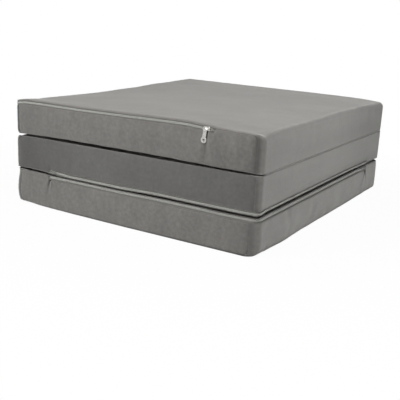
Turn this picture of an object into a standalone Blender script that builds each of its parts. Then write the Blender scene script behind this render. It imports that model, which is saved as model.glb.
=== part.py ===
"""Tri-fold foam guest mattress, folded flat in a Z, as separate closed solids.

Metres, +Z up. The folded stack stands on z = 0 with the middle of its plan at the origin.
X runs along a section: the upper fold is at +X and the lower fold at -X.
Y runs across the mattress: the long side with the zip pull is at -Y, called near.
"""

import math

import bmesh
import bpy
from mathutils import Matrix, Vector

# Mattress: 190 x 75 x 8 cm when it lies open
MATTRESS_WIDTH = 0.750
SECTION_LENGTH = 0.633
SECTION_THICKNESS = 0.080
FOLD_GAP = 0.0026
CROWN_GAP = 0.0004
FOLD_AXIS_OFFSET = 0.0025

# Cover fabric and its seams
FABRIC_THICKNESS = 0.0013
SEAM_GAP = 0.0003
SEAT_GAP = 0.0003
EDGE_RADIUS = 0.0035
EDGE_TURN = math.radians(85)
FOLD_CORNER_RADIUS = 0.0025
SOFT_CORNER_RADIUS = 0.013
FLOOR_CORNER_RADIUS = 0.018
LEAST_CORNER_RADIUS = 0.0002
SEAM_CORNER_RADIUS = 0.009
SHARP_TURN = math.radians(40)

# Upright corners seen from above: the end panels run round them to the side panels' seams
HEAD_END_RADIUS = 0.013
MIDDLE_END_RADIUS = 0.011
FOOT_END_RADIUS = 0.018

# Softness: how far the stuffed faces stand proud, and how far from an edge that begins
TOP_CROWN = 0.003
SIDE_SWELL = 0.0015
EASE_START = 0.013
CROWN_RUN = 0.120
SWELL_RUN = 0.020

# Fold hinges: a doubled strip of cover fabric sewn into the edge of both sections
HINGE_FABRIC = 0.0008
HINGE_LEG = 0.012
HINGE_SETBACK = 0.0005
HINGE_END_INSET = 0.018

# Coil zip: two tapes with a coil sewn along each
TAPE_HALF_WIDTH = 0.0030
TAPE_THICKNESS = 0.0007
TAPE_DEPTH = 0.00015
COIL_OUTER = 0.0023
COIL_THICKNESS = 0.0016
COIL_PROUD = 0.0002
COIL_EASE = 0.0003
COIL_SLIT = 0.0003
COIL_PARTING = 0.0010
ZIP_CLOSE_RAMP = 0.006
HEAD_ZIP_START = 0.208
LOWER_ZIP_START = -0.210
ZIP_END_ACROSS = 0.265

# Zip slider: two plates on a post, rails along the coil and an arch for the pull
SLIDER_LENGTH = 0.0118
SLIDER_FRONT_WIDTH = 0.0086
SLIDER_REAR_WIDTH = 0.0066
SLIDER_PLATE = 0.0011
SLIDER_BACK_PLATE = 0.0009
SLIDER_GAP = 0.0003
SLIDER_EASE = 0.0003
SLIDER_TIP_GAP = 0.0062
SLIDER_CORNER = 0.0013
SLIDER_NOTCH = 0.0009
POST_LENGTH = 0.0030
POST_WIDTH = 0.0014
RAIL_INNER = 0.00245
RAIL_WIDTH = 0.0006
WELD_OVERLAP = 0.0002
ARCH_SPAN = 0.0070
ARCH_BAR_RADIUS = 0.00055
ARCH_BEND = 0.0009

# Zip pull: a dog-bone plate whose upper eye hangs round one foot of the arch
PULL_THICKNESS = 0.0012
PULL_CENTRES = 0.0215
PULL_EYE_RADIUS = 0.0055
PULL_TAB_RADIUS = 0.0063
PULL_WAIST = 0.0080
PULL_EYE_HOLE = 0.0022
PULL_TAB_HOLE = 0.0024
PULL_DROOP = 0.0008
PULL_EDGE = 0.00015
PULL_GAP = 0.00035
PULL_LEAN = math.radians(7)

# Resolution of the curved and crowned faces
SOFT_CORNER_STEPS = 6
UPRIGHT_CORNER_STEPS = 5
CRISP_CORNER_STEPS = 3
FOLD_CORNER_STEPS = 2
EDGE_STEPS = 4
HINGE_BEND_STEPS = 6
BAR_SIDES = 8
HOLE_SIDES = 20
ARCH_STEPS = 3
FACE_SHARES = (0.03, 0.12, 0.25, 0.5, 0.75, 0.88, 0.97)
END_SHARES = (0.15, 0.4, 0.6, 0.85)
ACROSS_SHARES = (0.02, 0.1, 0.2, 0.5, 0.8, 0.9, 0.98)
PANEL_HEIGHT_SHARES = (0.0, 0.2, 0.5, 0.8, 1.0)
LEG_SHARES = (0.5,)

# Derived places
HALF_LENGTH = SECTION_LENGTH / 2
HALF_WIDTH = MATTRESS_WIDTH / 2
HALF_THICKNESS = SECTION_THICKNESS / 2
FACE_CROWN = (FOLD_GAP - CROWN_GAP) / 2
ZIP_TOP_DROP = EDGE_RADIUS + SEAM_GAP
ZIP_CENTRE_DROP = ZIP_TOP_DROP + TAPE_HALF_WIDTH
ZIP_LOW_DROP = ZIP_CENTRE_DROP + TAPE_HALF_WIDTH + SEAM_GAP
COIL_DEPTH = COIL_THICKNESS - COIL_PROUD
PLATE_LOW = COIL_PROUD + SLIDER_GAP
PLATE_HIGH = PLATE_LOW + SLIDER_PLATE
BACK_HIGH = -(COIL_DEPTH + SLIDER_GAP)
BACK_LOW = BACK_HIGH - SLIDER_BACK_PLATE
FOAM_SIDE_INSET = -BACK_LOW + SEAT_GAP
FOAM_FACE_INSET = FABRIC_THICKNESS + SEAT_GAP
PULL_LOW = PLATE_HIGH + PULL_GAP
PULL_HIGH = PULL_LOW + PULL_THICKNESS
ARCH_TOP = PULL_HIGH + PULL_GAP + ARCH_BAR_RADIUS

# Corners of a section's outline seen from the near side: their signs in X and Z, where their
# arc starts in degrees, and the sides before and after them, going round anticlockwise
CORNERS = {
    "tr": (1, 1, 0, "right", "top"),
    "tl": (-1, 1, 90, "top", "left"),
    "bl": (-1, -1, 180, "left", "bottom"),
    "br": (1, -1, 270, "bottom", "right"),
}
SIDE_SHARES = {
    "top": FACE_SHARES,
    "bottom": FACE_SHARES,
    "left": END_SHARES,
    "right": END_SHARES,
}
SIDE_STEPS_ALONG = {
    "top": (-1, 0),
    "left": (0, -1),
    "bottom": (1, 0),
    "right": (0, 1),
}

# Finishes: linear colour, roughness and metallic value
VELOUR = ((0.21, 0.206, 0.196), 0.95, 0)
ZIP_TAPE = ((0.33, 0.33, 0.31), 0.7, 0)
FOAM = ((0.80, 0.74, 0.58), 0.9, 0)
NICKEL = ((0.62, 0.61, 0.58), 0.28, 1)
GREY_LACQUER = ((0.30, 0.30, 0.29), 0.4, 0)


class Section:
    """One foam block and its zipped cover: where it lies, its corners and its zip."""

    def __init__(self, name, level, end_radius, radii, zip_face, zip_end, zip_start, crowns):
        self.name = name
        self.floor = level * (SECTION_THICKNESS + FOLD_GAP)
        self.middle = self.floor + HALF_THICKNESS
        self.end_radius = end_radius
        self.radii = radii
        self.zip_face = zip_face
        self.zip_end = zip_end
        self.zip_start = zip_start
        self.top_crown, self.bottom_crown = crowns

    def zip_height(self, drop):
        """The height that lies this far from the zipped face."""
        return self.middle + self.zip_face * (HALF_THICKNESS - drop)

    def cover_edge(self, along_zip):
        """How far the sewn cover's edge lies from the zipped face, along_zip metres inside the zip."""
        share = min(max(-along_zip / ZIP_CLOSE_RAMP, 0), 1)
        return ZIP_LOW_DROP + share * (ZIP_TOP_DROP + SEAM_GAP - ZIP_LOW_DROP)

    def end_edge_height(self, across):
        return self.zip_height(self.cover_edge(ZIP_END_ACROSS + SEAM_GAP - across))

    def near_edge_drop(self, along):
        return self.cover_edge(self.zip_end * (along - self.zip_start) + SEAM_GAP)

    def soften(self, point):
        """Moves a point of the plain block to where the stuffed cover holds it."""
        x, y, z = point
        up = (z - self.middle) / HALF_THICKNESS
        from_end = HALF_LENGTH - abs(x)
        from_side = HALF_WIDTH - abs(y)
        from_face = HALF_THICKNESS - abs(z - self.middle)
        crown = self.top_crown if up > 0 else self.bottom_crown
        face = eased(from_end, CROWN_RUN) * eased(from_side, CROWN_RUN)
        side = SIDE_SWELL * eased(from_face, SWELL_RUN)
        return (
            x + side * eased(from_side, CROWN_RUN) * x / HALF_LENGTH,
            y + side * eased(from_end, CROWN_RUN) * y / HALF_WIDTH,
            z + crown * face * up,
        )


def eased(distance, run):
    """0 up to EASE_START from an edge, then rising smoothly to 1 over the run."""
    share = min(max((distance - EASE_START) / run, 0), 1)
    return share * share * (3 - 2 * share)


def between(first, last, shares):
    """Points between two others, at these shares of the way."""
    return [tuple(a + (b - a) * share for a, b in zip(first, last)) for share in shares]


def corner_steps(radius):
    if radius > EDGE_RADIUS:
        return SOFT_CORNER_STEPS
    return CRISP_CORNER_STEPS if radius == EDGE_RADIUS else FOLD_CORNER_STEPS


def seam_radius(section, corner):
    """The corner's radius where the side panel's seam goes round it."""
    return SEAM_CORNER_RADIUS if section.radii[corner] > EDGE_RADIUS else LEAST_CORNER_RADIUS


def turned_in(radius, turn, depth):
    """How far an edge of this radius has drawn in from the block's outside once it has turned."""
    return radius - (radius - depth) * math.cos(turn)


def side_inset(radius):
    """How far from the block's outside a side panel stops, inside an edge of this radius."""
    return turned_in(radius, EDGE_TURN, FABRIC_THICKNESS) + SEAM_GAP


def seam_step(section, turn):
    """The gap along the outline that leaves the seam gap where the seam slants round a corner."""
    return SEAM_GAP * (1 + section.end_radius / EDGE_RADIUS * math.sin(turn))


def corner_arc(section, corner, inset_x, inset_z, radius):
    """The outline's points round one corner: x, z and how much each faces the end, from 0 to 1."""
    sign_x, sign_z, start, _, _ = CORNERS[corner]
    centre_x = sign_x * (HALF_LENGTH - inset_x - radius)
    centre_z = section.middle + sign_z * (HALF_THICKNESS - inset_z - radius)
    steps = corner_steps(section.radii[corner])
    points = []
    for step in range(steps + 1):
        angle = math.radians(start + 90 * step / steps)
        out_x, out_z = math.cos(angle), math.sin(angle)
        points.append((centre_x + radius * out_x, centre_z + radius * out_z, out_x * out_x))
    return points


def turned_arc(section, corner, turn, depth):
    """One corner of a panel's row: on the way from the block's own corner to the side seam's."""
    full = max(section.radii[corner] - depth, LEAST_CORNER_RADIUS)
    outer = corner_arc(section, corner, depth, depth, full)
    inner = corner_arc(section, corner, section.end_radius, EDGE_RADIUS, seam_radius(section, corner))
    share = math.cos(turn)
    return [between(seam, plain, (share,))[0] for plain, seam in zip(outer, inner)]


def panel_outline(section, run, turn, depth, across):
    """One row of a panel: its points round the block, from its first seam to its last.

    A run holds the rule of its first edge, its corners in order and the rule of its last edge.
    The rules are corner, where the seam is at the corner's end, seam, where it is a seam gap
    before the next corner, and zip, where the edge follows the zip."""
    first, corners, last = run
    end_x = HALF_LENGTH - turned_in(section.end_radius, turn, depth)
    side = CORNERS[corners[0]][3]
    points = []
    if first == "zip":
        points.append((end_x * (-1 if side == "left" else 1), section.end_edge_height(across), 1))
    if first == "seam":
        before = next(name for name in CORNERS if CORNERS[name][4] == side)
        points.append(past(turned_arc(section, before, turn, depth)[-1], side, seam_step(section, turn)))
    for corner in corners:
        arc = turned_arc(section, corner, turn, depth)
        if points:
            points += between(points[-1], arc[0], SIDE_SHARES[CORNERS[corner][3]])
        points += arc
    side = CORNERS[corners[-1]][4]
    if last == "corner":
        return points
    if last == "zip":
        end = (end_x * (-1 if side == "left" else 1), section.end_edge_height(across), 1)
    else:
        after = next(name for name in CORNERS if CORNERS[name][3] == side)
        end = past(turned_arc(section, after, turn, depth)[0], side, -seam_step(section, turn))
    return points + between(points[-1], end, SIDE_SHARES[side]) + [end]


def past(point, side, distance):
    along_x, along_z = SIDE_STEPS_ALONG[side]
    return (point[0] + along_x * distance, point[1] + along_z * distance, point[2])


def panel_rows(section, run):
    """A panel's rows: their share of the way to a side, and how far each has turned to it."""
    turns = [EDGE_TURN * step / EDGE_STEPS for step in range(1, EDGE_STEPS + 1)]
    flat = [2 * share - 1 for share in (0.0, *ACROSS_SHARES, 1.0)]
    if "zip" in run:
        closed = ZIP_END_ACROSS + SEAM_GAP
        reach = HALF_WIDTH - section.end_radius
        flat += [closed / reach, (closed + ZIP_CLOSE_RAMP) / reach]
    rows = [(-1, turn) for turn in reversed(turns)]
    rows += [(share, 0) for share in sorted(flat)]
    return rows + [(1, turn) for turn in turns]


def panel_sheet(section, run, depth):
    """A wrapped panel's surface this far under the cover's outside, as rows of points."""
    rows = []
    for share, turn in panel_rows(section, run):
        across = share * (HALF_WIDTH - section.end_radius)
        row = []
        for x, z, endward in panel_outline(section, run, turn, depth, across):
            radius = EDGE_RADIUS + (section.end_radius - EDGE_RADIUS) * endward
            y = share * (HALF_WIDTH - radius + (radius - depth) * math.sin(turn))
            row.append(section.soften((x, y, z)))
        rows.append(row)
    return rows


def side_columns(section, sign):
    """Where a side panel's columns stand along the section."""
    reach = HALF_LENGTH - side_inset(section.end_radius)
    columns = []
    for end, corners in ((-1, ("tl", "bl")), (1, ("tr", "br"))):
        radius = max(seam_radius(section, corner) for corner in corners)
        steps = max(corner_steps(section.radii[corner]) for corner in corners)
        for step in range(steps + 1):
            turned = radius * (1 - math.cos(math.radians(90 * step / steps)))
            columns.append(end * (reach - turned))
    inner = [share * 2 * reach - reach for share in FACE_SHARES]
    if sign < 0:
        closed = section.zip_start - section.zip_end * SEAM_GAP
        inner += [closed, closed - section.zip_end * ZIP_CLOSE_RAMP]
    return sorted(columns + inner)


def side_edge_height(section, sign, face, x):
    """The height of a side panel's edge at x, on the block's upper (1) or lower (-1) face."""
    inset = side_inset(EDGE_RADIUS)
    past_start = (x - section.zip_start) * section.zip_end
    if sign < 0 and face == section.zip_face and past_start > -ZIP_CLOSE_RAMP - SEAM_GAP:
        return section.zip_height(max(section.near_edge_drop(x), inset))
    corner = ("t" if face > 0 else "b") + ("r" if x > 0 else "l")
    radius = seam_radius(section, corner)
    into = max(abs(x) - (HALF_LENGTH - side_inset(section.end_radius) - radius), 0)
    rise = math.sqrt(max(radius * radius - into * into, 0)) - radius
    return section.middle + face * (HALF_THICKNESS - inset + rise)


def side_sheet(section, sign, depth):
    """A flat side panel's surface this far under the cover's outside, as columns of points."""
    rows = []
    for x in side_columns(section, sign):
        low = side_edge_height(section, sign, -1, x)
        high = side_edge_height(section, sign, 1, x)
        y = sign * (HALF_WIDTH - depth)
        heights = [low + (high - low) * share for share in PANEL_HEIGHT_SHARES]
        rows.append([section.soften((x, y, z)) for z in heights])
    return rows


def material(name, colour, roughness, metallic):
    made = bpy.data.materials.new(name)
    made.use_nodes = True
    shader = made.node_tree.nodes["Principled BSDF"]
    shader.inputs["Base Color"].default_value = (*colour, 1)
    shader.inputs["Roughness"].default_value = roughness
    shader.inputs["Metallic"].default_value = metallic
    return made


def add_object(name, mesh_data, finish):
    """Links a mesh or curve as the named piece, with its own material."""
    piece = bpy.data.objects.new(name, mesh_data)
    bpy.context.scene.collection.objects.link(piece)
    mesh_data.materials.append(material(name + "_finish", *finish))
    return piece


def finish_mesh(bm, name):
    """The bmesh as a mesh, facing out and shaded smooth up to a crease."""
    bmesh.ops.recalc_face_normals(bm, faces=bm.faces)
    if bm.calc_volume(signed=True) < 0:
        bmesh.ops.reverse_faces(bm, faces=bm.faces)
    mesh = bpy.data.meshes.new(name)
    bm.to_mesh(mesh)
    bm.free()
    mesh.shade_smooth()
    mesh.set_sharp_from_angle(angle=SHARP_TURN)
    return mesh


def sheet_mesh(name, outer, inner):
    """A closed sheet of fabric between two grids of points."""
    bm = bmesh.new()
    grids = [[[bm.verts.new(point) for point in row] for row in grid] for grid in (outer, inner)]
    for grid in grids:
        for row, after in zip(grid, grid[1:]):
            for a, b, c, d in zip(row, row[1:], after[1:], after):
                bm.faces.new((a, b, c, d))
    rims = []
    for grid in grids:
        rim = grid[0] + [row[-1] for row in grid[1:]] + grid[-1][-2::-1]
        rims.append(rim + [row[0] for row in grid[-2:0:-1]])
    for n, vert in enumerate(rims[0]):
        after = (n + 1) % len(rims[0])
        bm.faces.new((vert, rims[0][after], rims[1][after], rims[1][n]))
    return finish_mesh(bm, name)


def loft_mesh(name, rings):
    """A closed solid through rings of points, with flat ends."""
    bm = bmesh.new()
    loops = [[bm.verts.new(point) for point in ring] for ring in rings]
    for ring, after in zip(loops, loops[1:]):
        for n, vert in enumerate(ring):
            following = (n + 1) % len(ring)
            bm.faces.new((vert, ring[following], after[following], after[n]))
    bm.faces.new(loops[0])
    bm.faces.new(loops[-1])
    return finish_mesh(bm, name)


def foam_ring(section, y, drawn_in):
    """The foam block's outline across y, its ends drawn in from where they lie at the middle."""
    ring = []
    for corner in CORNERS:
        inset_x = FOAM_SIDE_INSET + drawn_in
        radius = max(section.radii[corner] - max(inset_x, FOAM_FACE_INSET), LEAST_CORNER_RADIUS)
        arc = corner_arc(section, corner, inset_x, FOAM_FACE_INSET, radius)
        if ring:
            ring += between(ring[-1], arc[0], SIDE_SHARES[CORNERS[corner][3]])
        ring += arc
    ring += between(ring[-1], ring[0], SIDE_SHARES["right"])
    return [section.soften((x, y, z)) for x, z, _ in ring]


def add_foam(section):
    """The section's foam block, cut a little smaller than its cover, with round upright corners."""
    reach = HALF_WIDTH - FOAM_SIDE_INSET
    radius = section.end_radius - FOAM_SIDE_INSET
    turns = [math.pi / 2 * step / UPRIGHT_CORNER_STEPS for step in range(UPRIGHT_CORNER_STEPS + 1)]
    stations = [(reach - radius * (1 - math.sin(turn)), radius * (1 - math.cos(turn))) for turn in turns]
    inner = [((2 * share - 1) * (reach - radius), 0) for share in ACROSS_SHARES]
    stations = [(-y, drawn_in) for y, drawn_in in reversed(stations)] + inner + stations
    name = section.name + "_foam_core"
    rings = [foam_ring(section, *station) for station in stations]
    return add_object(name, loft_mesh(name, rings), FOAM)


def add_wrapped_panel(section, part, run):
    name = f"{section.name}_cover_{part}"
    outer = panel_sheet(section, run, 0)
    inner = panel_sheet(section, run, FABRIC_THICKNESS)
    return add_object(name, sheet_mesh(name, outer, inner), VELOUR)


def add_side_panel(section, part, sign):
    name = f"{section.name}_cover_{part}"
    outer = side_sheet(section, sign, 0)
    inner = side_sheet(section, sign, FABRIC_THICKNESS)
    return add_object(name, sheet_mesh(name, outer, inner), VELOUR)


def add_hinge_strip(name, end, height):
    """The doubled strip in a fold: two legs between the sections and a bend at their edge."""
    outer = FOLD_GAP / 2 - SEAT_GAP
    inner = outer - HINGE_FABRIC
    tip = HALF_LENGTH - HINGE_LEG
    bend = HALF_LENGTH - HINGE_SETBACK - outer
    section = [(tip, -outer)]
    turns = [math.pi * step / HINGE_BEND_STEPS - math.pi / 2 for step in range(HINGE_BEND_STEPS + 1)]
    section += [(bend + outer * math.cos(turn), outer * math.sin(turn)) for turn in turns]
    section += [(tip, outer), (tip, inner)]
    section += [(bend + inner * math.cos(turn), inner * math.sin(turn)) for turn in reversed(turns)]
    section.append((tip, -inner))
    reach = HALF_WIDTH - HINGE_END_INSET
    rings = []
    for share in (0.0, *ACROSS_SHARES, 1.0):
        y = share * 2 * reach - reach
        rings.append([(end * x, y, height + z) for x, z in section])
    return add_object(name, loft_mesh(name, rings), VELOUR)


def zip_path(section):
    """The zip's line in plan: (x, y), its outward direction and its distance from the start."""
    radius = section.end_radius
    corner_x = section.zip_end * (HALF_LENGTH - radius)
    corner_y = radius - HALF_WIDTH
    near_leg = abs(corner_x - section.zip_start)
    end_leg = ZIP_END_ACROSS - corner_y
    bend = radius * math.pi / 2
    total = near_leg + bend + end_leg
    at_start = [SLIDER_TIP_GAP, SLIDER_TIP_GAP + SLIDER_LENGTH / 2, SLIDER_TIP_GAP + SLIDER_LENGTH]
    stations = [0, *at_start]
    stations += [near_leg * share for share in LEG_SHARES] + [near_leg]
    corner_stations = range(1, UPRIGHT_CORNER_STEPS + 1)
    stations += [near_leg + bend * step / UPRIGHT_CORNER_STEPS for step in corner_stations]
    stations += [near_leg + bend + end_leg * share for share in LEG_SHARES]
    stations += [total - station for station in reversed(at_start)] + [total]
    path = []
    for station in stations:
        if station <= near_leg:
            place = (section.zip_start + section.zip_end * station, -HALF_WIDTH)
            out = (0, -1)
        elif station < near_leg + bend:
            turn = math.pi / 2 * (station - near_leg) / bend
            out = (section.zip_end * math.sin(turn), -math.cos(turn))
            place = (corner_x + radius * out[0], corner_y + radius * out[1])
        else:
            place = (section.zip_end * HALF_LENGTH, corner_y + station - near_leg - bend)
            out = (section.zip_end, 0)
        path.append((place, out, station, total - station))
    return path


def add_zip_half(section, part, side, slider_at_start):
    """One tape with its coil, parted from the other half where the slider stands."""
    rings = []
    for place, out, from_start, from_end in zip_path(section):
        from_tip = from_start if slider_at_start else from_end
        closing = (SLIDER_TIP_GAP + SLIDER_LENGTH - from_tip) / (SLIDER_LENGTH / 2)
        slit = COIL_SLIT / 2 + COIL_PARTING * min(max(closing, 0), 1)
        tape_low = -TAPE_DEPTH - TAPE_THICKNESS
        outline = [
            (TAPE_HALF_WIDTH, tape_low),
            (TAPE_HALF_WIDTH, -TAPE_DEPTH),
            (COIL_OUTER, -TAPE_DEPTH),
            (COIL_OUTER - COIL_EASE, COIL_PROUD),
            (slit + COIL_EASE, COIL_PROUD),
            (slit, COIL_PROUD - COIL_EASE),
            (slit, COIL_EASE - COIL_DEPTH),
            (slit + COIL_EASE, -COIL_DEPTH),
            (COIL_OUTER - COIL_EASE, -COIL_DEPTH),
            (COIL_OUTER, tape_low),
        ]
        centre = section.zip_height(ZIP_CENTRE_DROP)
        ring = []
        for across, proud in outline:
            x = place[0] + out[0] * proud
            y = place[1] + out[1] * proud
            ring.append((x, y, centre + side * across))
        rings.append(ring)
    name = f"{section.name}_zip_tape_{part}"
    return add_object(name, loft_mesh(name, rings), ZIP_TAPE)


def prism(outline, low, high, ease):
    """A closed plate between two heights, its upper edge eased."""
    bm = bmesh.new()
    shrink = 1 - ease / max(max(abs(x), abs(y)) for x, y in outline)
    levels = [(low, 1), (high - ease, 1), (high, shrink)] if ease else [(low, 1), (high, 1)]
    loops = []
    for height, share in levels:
        loops.append([bm.verts.new((x * share, y * share, height)) for x, y in outline])
    for ring, after in zip(loops, loops[1:]):
        for n, vert in enumerate(ring):
            following = (n + 1) % len(ring)
            bm.faces.new((vert, ring[following], after[following], after[n]))
    bm.faces.new(loops[0])
    bm.faces.new(loops[-1])
    return finish_mesh(bm, "prism")


def slider_outline():
    """The plates' shape, wide at the front where the two coils enter, with a notch between them."""
    nose = SLIDER_LENGTH / 2
    front = SLIDER_FRONT_WIDTH / 2
    rear = SLIDER_REAR_WIDTH / 2
    side = [
        (nose - SLIDER_NOTCH, 0),
        (nose, front / 2),
        (nose - SLIDER_CORNER / 2, front - SLIDER_CORNER / 2),
        (nose - SLIDER_CORNER, front),
        (0, rear),
        (SLIDER_CORNER - nose, rear),
        (-nose, rear - SLIDER_CORNER),
    ]
    return side + [(x, -y) for x, y in reversed(side[1:])]


def rectangle(x_low, x_high, y_low, y_high):
    return [(x_low, y_low), (x_high, y_low), (x_high, y_high), (x_low, y_high)]


def arch_mesh():
    """The round bar that rises from the plate, runs along it and goes down again."""
    foot = ARCH_SPAN / 2
    path = [(-foot, PLATE_HIGH - WELD_OVERLAP)]
    for end in (-1, 1):
        for step in range(ARCH_STEPS + 1):
            turn = math.pi / 2 * (step if end < 0 else ARCH_STEPS - step) / ARCH_STEPS
            reach = foot - ARCH_BEND * (1 - math.cos(turn))
            path.append((end * reach, ARCH_TOP - ARCH_BEND * (1 - math.sin(turn))))
    path.append((foot, PLATE_HIGH - WELD_OVERLAP))
    rings = []
    for n, (x, z) in enumerate(path):
        before, after = path[max(n - 1, 0)], path[min(n + 1, len(path) - 1)]
        along = Vector((after[0] - before[0], 0, after[1] - before[1])).normalized()
        side = Vector((0, 1, 0))
        out = along.cross(side)
        ring = []
        for corner in range(BAR_SIDES):
            turn = 2 * math.pi * corner / BAR_SIDES
            offset = ARCH_BAR_RADIUS * (math.cos(turn) * side + math.sin(turn) * out)
            ring.append((x + offset.x, offset.y, z + offset.z))
        rings.append(ring)
    return loft_mesh("arch", rings)


def slider_mesh(name):
    """The slider in its own axes: +X to its wide front, +Z out of the cover."""
    outline = slider_outline()
    post_at = SLIDER_LENGTH / 2 - SLIDER_NOTCH - POST_LENGTH / 2
    post = [
        (post_at - POST_LENGTH / 2, 0),
        (post_at, -POST_WIDTH / 2),
        (post_at + POST_LENGTH / 2, 0),
        (post_at, POST_WIDTH / 2),
    ]
    rail_outer = RAIL_INNER + RAIL_WIDTH
    tape_low = -TAPE_DEPTH - TAPE_THICKNESS
    pieces = [
        prism(outline, PLATE_LOW, PLATE_HIGH, SLIDER_EASE),
        prism(outline, BACK_LOW, BACK_HIGH, 0),
        prism(post, BACK_HIGH - WELD_OVERLAP, PLATE_LOW + WELD_OVERLAP, 0),
        arch_mesh(),
    ]
    for side in (-1, 1):
        low, high = sorted((side * RAIL_INNER, side * rail_outer))
        rail = rectangle(SLIDER_CORNER - SLIDER_LENGTH / 2, SLIDER_LENGTH / 2 - SLIDER_CORNER, low, high)
        pieces.append(prism(rail, SLIDER_GAP - TAPE_DEPTH, PLATE_LOW + WELD_OVERLAP, 0))
        pieces.append(prism(rail, BACK_HIGH - WELD_OVERLAP, tape_low - SLIDER_GAP, 0))
    return fused(name, pieces)


def fused(name, meshes):
    """The meshes joined into one closed body with Boolean unions."""
    helpers = []
    for mesh in meshes:
        helper = bpy.data.objects.new("helper", mesh)
        bpy.context.scene.collection.objects.link(helper)
        helpers.append(helper)
    for other in helpers[1:]:
        union = helpers[0].modifiers.new("union", "BOOLEAN")
        union.operation = "UNION"
        union.object = other
    bpy.context.view_layer.update()
    graph = bpy.context.evaluated_depsgraph_get()
    joined = bpy.data.meshes.new_from_object(helpers[0].evaluated_get(graph))
    joined.name = name
    for helper in helpers:
        mesh = helper.data
        bpy.data.objects.remove(helper)
        bpy.data.meshes.remove(mesh)
    return joined


def zip_axes(section, at_start):
    """The slider's directions: its wide front to the zip's closed tip, its face outward."""
    if at_start:
        front, out = Vector((-section.zip_end, 0, 0)), Vector((0, -1, 0))
    else:
        front, out = Vector((0, 1, 0)), Vector((section.zip_end, 0, 0))
    return Matrix((front, out.cross(front), out)).transposed()


def slider_place(section, at_start):
    from_tip = SLIDER_TIP_GAP + SLIDER_LENGTH / 2
    height = section.zip_height(ZIP_CENTRE_DROP)
    if at_start:
        return Vector((section.zip_start + section.zip_end * from_tip, -HALF_WIDTH, height))
    return Vector((section.zip_end * HALF_LENGTH, ZIP_END_ACROSS - from_tip, height))


def add_slider(section, at_start, finish):
    name = section.name + "_zip_slider"
    slider = add_object(name, slider_mesh(name), finish)
    slider.location = slider_place(section, at_start)
    slider.rotation_euler = zip_axes(section, at_start).to_euler()
    return slider


def circle_points(centre, radius, first, last, steps):
    """Points on a circle from one angle to another, both included."""
    points = []
    for step in range(steps + 1):
        angle = first + (last - first) * step / steps
        points.append((centre[0] + radius * math.cos(angle), centre[1] + radius * math.sin(angle)))
    return points


def pull_curve(name):
    """The pull's plate: two rounded ends drawn in to a waist, each with a hole. +Y is up."""
    eye = (0, -PULL_DROOP)
    tab = (0, -PULL_DROOP - PULL_CENTRES)
    ends = ((eye, PULL_EYE_RADIUS, -math.pi / 2), (tab, PULL_TAB_RADIUS, math.pi / 2))
    outline = []
    for centre, radius, towards_waist in ends:
        waist = math.asin(PULL_WAIST / 2 / radius)
        first, last = towards_waist + waist, towards_waist + 2 * math.pi - waist
        outline += circle_points(centre, radius, first, last, HOLE_SIDES)
    holes = []
    for centre, radius in ((eye, PULL_EYE_HOLE), (tab, PULL_TAB_HOLE)):
        holes.append(circle_points(centre, radius, 0, 2 * math.pi, HOLE_SIDES)[:-1])
    curve = bpy.data.curves.new(name, "CURVE")
    curve.dimensions = "2D"
    curve.fill_mode = "BOTH"
    curve.extrude = PULL_THICKNESS / 2 - PULL_EDGE
    curve.bevel_depth = PULL_EDGE
    curve.bevel_resolution = 0
    curve.offset = -PULL_EDGE
    for points in (outline, *holes):
        spline = curve.splines.new("POLY")
        spline.points.add(len(points) - 1)
        for point, (x, y) in zip(spline.points, points):
            point.co = (x, y, 0, 1)
        spline.use_cyclic_u = True
    return curve


def add_pull(section, slider):
    """The pull, hanging by its eye from the arch's foot that stands towards the closed zip."""
    name = section.name + "_zip_pull"
    pull = add_object(name, pull_curve(name), NICKEL)
    axes = zip_axes(section, True)
    foot = axes @ Vector((-ARCH_SPAN / 2, 0, (PULL_LOW + PULL_HIGH) / 2))
    pull.location = slider.location + foot
    hanging = Matrix((Vector((1, 0, 0)), Vector((0, 0, 1)), Vector((0, -1, 0)))).transposed()
    lean = Matrix.Rotation(PULL_LEAN, 3, (0, 1, 0))
    pull.rotation_euler = (lean @ hanging).to_euler()
    return pull


def fold_axis(name, end, height):
    """An empty on a fold's axis."""
    axis = bpy.data.objects.new(name, None)
    axis.location = (end * (HALF_LENGTH + FOLD_AXIS_OFFSET), 0, height)
    bpy.context.scene.collection.objects.link(axis)
    bpy.context.view_layer.update()
    return axis


def carry(parent, pieces):
    """Parents pieces where they stand."""
    for piece in pieces:
        piece.parent = parent
        piece.matrix_parent_inverse = parent.matrix_world.inverted()


def add_section(section, wrapped, slider_at_start, slider_finish):
    """One section's foam, cover panels, zip tapes and slider."""
    pieces = [add_foam(section)]
    for part, run in wrapped.items():
        pieces.append(add_wrapped_panel(section, part, run))
    pieces.append(add_side_panel(section, "near_side", -1))
    pieces.append(add_side_panel(section, "far_side", 1))
    pieces.append(add_zip_half(section, "face", section.zip_face, slider_at_start))
    pieces.append(add_zip_half(section, "side", -section.zip_face, slider_at_start))
    return pieces, add_slider(section, slider_at_start, slider_finish)


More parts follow.
